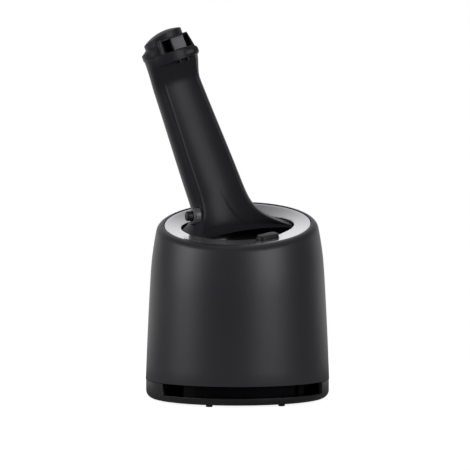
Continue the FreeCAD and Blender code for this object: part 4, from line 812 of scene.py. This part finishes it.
def sector(name, radius, low, high, centreAngle, angle):
    # wedge of a disc between two heights, centred on a direction in degrees
    deselectAll()
    bpy.ops.mesh.primitive_plane_add(size=1)
    piece = named(name)
    bpy.ops.object.mode_set(mode="EDIT")
    bpy.ops.mesh.select_all(action="SELECT")
    bpy.ops.mesh.merge(type="CENTER")
    bpy.ops.transform.translate(value=(radius, 0, low))
    bpy.ops.mesh.extrude_region_move(TRANSFORM_OT_translate={"value": (-radius, 0, 0)})
    bpy.ops.mesh.select_all(action="SELECT")
    bpy.ops.mesh.extrude_region_move(TRANSFORM_OT_translate={"value": (0, 0, high - low)})
    bpy.ops.mesh.select_all(action="SELECT")
    bpy.ops.mesh.spin(steps=40, angle=-math.radians(angle), center=(0, 0, 0), axis=(0, 0, 1))
    bpy.ops.mesh.select_all(action="SELECT")
    bpy.ops.mesh.remove_doubles(threshold=0.00001)
    bpy.ops.mesh.normals_make_consistent(inside=False)
    deselectAll()
    start = Matrix.Rotation(math.radians(centreAngle) - math.radians(angle) / 2, 4, "Z")
    return place(piece, start)


def makeBase():
    turn = base["radius"] - base["round"], base["low"] + base["round"]
    # quarter circle from the underside up to the wall
    corner = [(turn[0] + base["round"] * math.sin(a), turn[1] - base["round"] * math.cos(a))
              for a in (math.radians(10 * i) for i in range(10))]
    inside = base["radius"] - base["wall"]
    outline = [(base["middle"], base["low"]), *corner, (base["radius"], base["rim"]), (inside, base["rim"]),
               (inside, base["floor"]), (base["middle"], base["floor"])]
    pan = lathe("basePan", outline, sides=facets["drum"])
    combine(pan, sector("slot", base["slotRadius"], base["sill"], base["slotHigh"], -90, base["slotAngle"]))
    wall = sector("skirt", skirt["outer"], base["floor"] - skirt["sink"], skirt["high"], 90, skirt["angle"])
    combine(wall, bar("skirtCore", flat, skirt["inner"], skirt["inner"], 0, skirt["high"] + beyond,
                      facets["drum"]))
    combine(wall, block("skirtWindow", skirt["window"], skirt["windowMiddle"]))
    combine(pan, wall, "UNION")
    for side in (-1, 1):
        spot = Matrix.Translation((side * screw["x"], screw["y"], 0))
        combine(pan, lathe("screwPort", screw["port"], spot, facets["screw"], closed=False))
    soften(pan, 0.0004)
    fit(pan, "base", "base", finishes["base"], "base_pan")


def makeFeet():
    spots = [(x, y, 0) for x in (-pad["x"], pad["x"]) for y in (-pad["y"], pad["y"])]
    pads = [lathe("rubberFeet", pad["outline"], Matrix.Translation(spot), facets["screw"], closed=False)
            for spot in spots]
    activate(pads[0])
    for other in pads[1:]:
        other.select_set(True)
    bpy.ops.object.join()
    soften(pads[0], 0.0001, 2, 50)
    fit(pads[0], "base", "rubber", finishes["rubber"], "rubber_feet")


# cartridge, power socket and lift button
cartridge = {"radius": 0.0566, "half": 0.040, "back": 0.022, "low": 0.0034, "high": 0.040, "wall": 0.0016,
             "corner": 0.0025, "lidHigh": 0.0425, "mouth": 0.0048}
inlet = {"port": (0.0164, 0.03, 0.0194), "portMiddle": (0, 0.060, 0.0625), "size": (0.016, 0.014, 0.019),
         "middle": (0, 0.0512, 0.0625), "mouth": (0.009, 0.02, 0.0066), "mouthMiddle": (0, 0.0582, 0.065),
         "corner": 0.0012}
lift = {"rear": 0.0618, "height": 0.033, "halves": (0.009, 0.005), "length": 0.0045, "edge": 0.001,
        "gap": 0.00035, "port": (-0.006, 0.016)}


def roundedFront(name, inset, low, high):
    # box as wide as the cartridge, less an inset all round, whose front follows the drum
    radius, half, back = (cartridge[size] - inset for size in ("radius", "half", "back"))
    piece = bar(name, flat, radius, radius, low, high, facets["drum"])
    over = beyond / 2
    sides = block(name + "Sides", (2 * half, radius + back + over, high - low + over),
                  (0, (back - radius - over) / 2, (low + high) / 2))
    combine(piece, sides, "INTERSECT")
    return piece


def makeCartridge():
    low, high, wall = cartridge["low"], cartridge["high"], cartridge["wall"]
    can = roundedFront("cartridgeCan", 0, low, high)
    combine(can, roundedFront("cartridgeSpace", wall, low + wall, high + beyond))
    flank = 0.75 * cartridge["half"]
    bevelEdges(can, cartridge["corner"], 5, lambda a, b: upright(a, b, 0.01) and abs(a.x) > flank)
    soften(can, 0.0004)
    fit(can, "base", "cartridge", finishes["cartridge"], "cartridge_body")
    lid = roundedFront("cartridgeLid", 0, high, cartridge["lidHigh"])
    drain = deckFrame @ Vector(tub["drain"])
    mouth = Matrix.Translation((drain.x, drain.y, 0))
    combine(lid, bar("lidMouth", mouth, cartridge["mouth"], cartridge["mouth"], high - beyond / 2,
                     high + beyond, facets["hole"]))
    soften(lid, 0.0005)
    fit(lid, "base", "cartridge", finishes["cartridge"], "cartridge_lid")


def makeSocket():
    piece = block("powerSocket", inlet["size"], inlet["middle"])
    combine(piece, block("socketMouth", inlet["mouth"], inlet["mouthMiddle"]))
    # only the four long edges outside; those of the mouth lie nearer the middle
    side = 0.4 * inlet["size"][0]
    bevelEdges(piece, inlet["corner"], 4, lambda a, b: abs(a.y - b.y) > side and abs(a.x) > side)
    soften(piece)
    fit(piece, "housing", "works", finishes["works"], "power_socket")


def makeLiftButton():
    piece = bar("liftButton", backward(lift["rear"], lift["height"]), *lift["halves"], 0, lift["length"])
    rear = lift["rear"] - 0.0001
    bevelEdges(piece, lift["edge"], 5, lambda a, b: a.y > rear and b.y > rear)
    soften(piece, 0.0002, 2, 50)
    fit(piece, "lift_button", "button_grey", finishes["button_grey"], "lift_button")


def dress(name, material):
    # finish, welded seams and small round edges on a constructed solid
    node = nodes[name]
    node.data.materials.clear()
    node.data.materials.append(material)
    weld = node.modifiers.new("weld", "WELD")
    weld.merge_threshold = edging["weld"]
    edges = node.modifiers.new("edges", "BEVEL")
    edges.width = edging["thin"]
    edges.segments = 2
    edges.limit_method = "ANGLE"
    edges.angle_limit = math.radians(edging["sharp"])
    edges.harden_normals = True
    for face in node.data.polygons:
        face.use_smooth = True


# finish of each solid that stays as it was constructed
works = {"guide_posts": "steel", "base_screws": "steel", "lift_spring_left": "steel",
         "lift_spring_right": "steel", "latch_catch": "base", "cartridge_filter": "filter",
         "drain_nozzle": "works", "drain_seal": "rubber", "inner_frame": "frame", "frame_screws": "steel",
         "circuit_board": "board", "board_parts": "works", "socket_pins": "steel", "pump_housing": "works",
         "pump_motor": "steel", "wash_tube": "rubber", "fan_housing": "works", "fan_motor": "steel",
         "latch_hook": "button_grey", "contact_pin_left": "brass", "contact_pin_right": "brass",
         "pump_shaft": "steel", "pump_impeller": "works", "fan_rotor": "works"}


bezelFrame = makeBezelFrame()
makeDrum()
makeRing()
makeTub()
makeTower()
makeCap()
makeContactBlock()
makeStartButton()
makeQuickButton()
makeBase()
makeFeet()
makeCartridge()
makeSocket()
makeLiftButton()
for nodeName, slotName in works.items():
    dress(nodeName, finishes[slotName])
print("pieces done")


# camera, floor, backdrop and lamps
studio = {"camera": {"side": -6.0, "rise": 2.6, "distance": 2.0, "aim": (-0.0017, 0, 0.111), "lens": 227},
          "dim": 0.05, "floorSize": 8, "floorSpot": (0, 0, -0.0002), "floorColor": 0.5, "floorGlow": 0.90,
          "clear": (0.16, 0.5), "behindFloor": (0.1, 0.6), "behindWorld": (0.6, 0.95),
          "lampAim": (0, 0, 0.12),
          "lamps": {"leftBox": ((-1.36, -0.3, 0.62), (0.8, 1.0), 11.0),
                    "rightBox": ((0.83, -1.12, 0.60), (0.9, 0.9), 10.5),
                    "rimBox": ((1.25, 0.95, 0.45), (0.3, 0.9), 0.8),
                    "topBox": ((0.1, 0.35, 1.3), (0.9, 0.7), 0.8)}}


def softStep(tree, source, low, high):
    # rises softly from 0 to 1 between two values
    node = tree.nodes.new("ShaderNodeMapRange")
    node.interpolation_type = "SMOOTHSTEP"
    node.inputs["From Min"].default_value = low
    node.inputs["From Max"].default_value = high
    tree.links.new(source, node.inputs["Value"])
    return node.outputs["Result"]


def seenPart(tree, spot, low, high):
    # 1 for rays from the camera, and behind the station also for rays off shiny or through clear pieces
    path, split = tree.nodes.new("ShaderNodeLightPath"), tree.nodes.new("ShaderNodeSeparateXYZ")
    tree.links.new(spot, split.inputs["Vector"])
    shiny = maths(tree, "MAXIMUM", path.outputs["Is Glossy Ray"], path.outputs["Is Transmission Ray"])
    mirrored = maths(tree, "MULTIPLY", shiny, softStep(tree, split.outputs["Y"], low, high))
    return maths(tree, "MAXIMUM", path.outputs["Is Camera Ray"], mirrored)


def mixShaders(tree, share, first, second):
    mix = tree.nodes.new("ShaderNodeMixShader")
    tree.links.new(share, mix.inputs["Fac"])
    tree.links.new(first, mix.inputs[1])
    tree.links.new(second, mix.inputs[2])
    return mix.outputs["Shader"]


def makeWorld():
    # white backdrop behind the station, a dim room in front of it
    world = bpy.data.worlds.new("studioWorld")
    bpy.context.scene.world = world
    world.use_nodes = True
    tree = world.node_tree
    tree.nodes.clear()
    out = tree.nodes.new("ShaderNodeOutputWorld")
    white, room = tree.nodes.new("ShaderNodeBackground"), tree.nodes.new("ShaderNodeBackground")
    for backdrop in (white, room):
        backdrop.inputs["Color"].default_value = (1, 1, 1, 1)
    room.inputs["Strength"].default_value = studio["dim"]
    coords = tree.nodes.new("ShaderNodeTexCoord")
    seen = seenPart(tree, coords.outputs["Generated"], *studio["behindWorld"])
    shown = mixShaders(tree, seen, room.outputs["Background"], white.outputs["Background"])
    tree.links.new(shown, out.inputs["Surface"])


def makeFloor():
    # pale floor that takes the shadow near the station and clears to white further out
    deselectAll()
    bpy.ops.mesh.primitive_plane_add(size=studio["floorSize"], location=studio["floorSpot"])
    floor = named("studioFloor")
    material = bpy.data.materials.new("floorWhite")
    material.use_nodes = True
    tree = material.node_tree
    tree.nodes.clear()
    out = tree.nodes.new("ShaderNodeOutputMaterial")
    matt = tree.nodes.new("ShaderNodeBsdfDiffuse")
    matt.inputs["Color"].default_value = (*(studio["floorColor"],) * 3, 1)
    glow, clear = tree.nodes.new("ShaderNodeEmission"), tree.nodes.new("ShaderNodeEmission")
    coords, length = tree.nodes.new("ShaderNodeTexCoord"), tree.nodes.new("ShaderNodeVectorMath")
    length.operation = "LENGTH"
    tree.links.new(coords.outputs["Object"], length.inputs[0])
    seen = seenPart(tree, coords.outputs["Object"], *studio["behindFloor"])
    tree.links.new(maths(tree, "MULTIPLY", seen, studio["floorGlow"]), glow.inputs["Strength"])
    tree.links.new(seen, clear.inputs["Strength"])
    near = tree.nodes.new("ShaderNodeAddShader")
    tree.links.new(matt.outputs["BSDF"], near.inputs[0])
    tree.links.new(glow.outputs["Emission"], near.inputs[1])
    far = softStep(tree, length.outputs["Value"], *studio["clear"])
    shown = mixShaders(tree, far, near.outputs["Shader"], clear.outputs["Emission"])
    tree.links.new(shown, out.inputs["Surface"])
    floor.data.materials.append(material)


def makeLights():
    for name, (spot, extent, power) in studio["lamps"].items():
        deselectAll()
        bpy.ops.object.light_add(type="AREA", location=spot)
        lamp = bpy.context.object
        lamp.name = name
        lamp.data.shape = "RECTANGLE"
        lamp.data.size, lamp.data.size_y = extent
        lamp.data.energy = power
        aim = Vector(studio["lampAim"]) - Vector(spot)
        lamp.rotation_euler = aim.to_track_quat("-Z", "Y").to_euler()


def makeCamera():
    spot = studio["camera"]
    side, rise = math.radians(spot["side"]), math.radians(spot["rise"])
    aim = Vector(spot["aim"])
    away = Vector((math.sin(side) * math.cos(rise), -math.cos(side) * math.cos(rise), math.sin(rise)))
    deselectAll()
    bpy.ops.object.camera_add(location=aim + away * spot["distance"])
    camera = bpy.context.object
    camera.name = "mainCamera"
    camera.rotation_euler = (-away).to_track_quat("-Z", "Y").to_euler()
    camera.data.lens = spot["lens"]
    camera.data.sensor_width = 36
    camera.data.clip_end = 20
    bpy.context.scene.camera = camera


makeWorld()
makeFloor()
makeLights()
makeCamera()
bpy.context.scene.view_settings.view_transform = "Standard"
print("studio done")
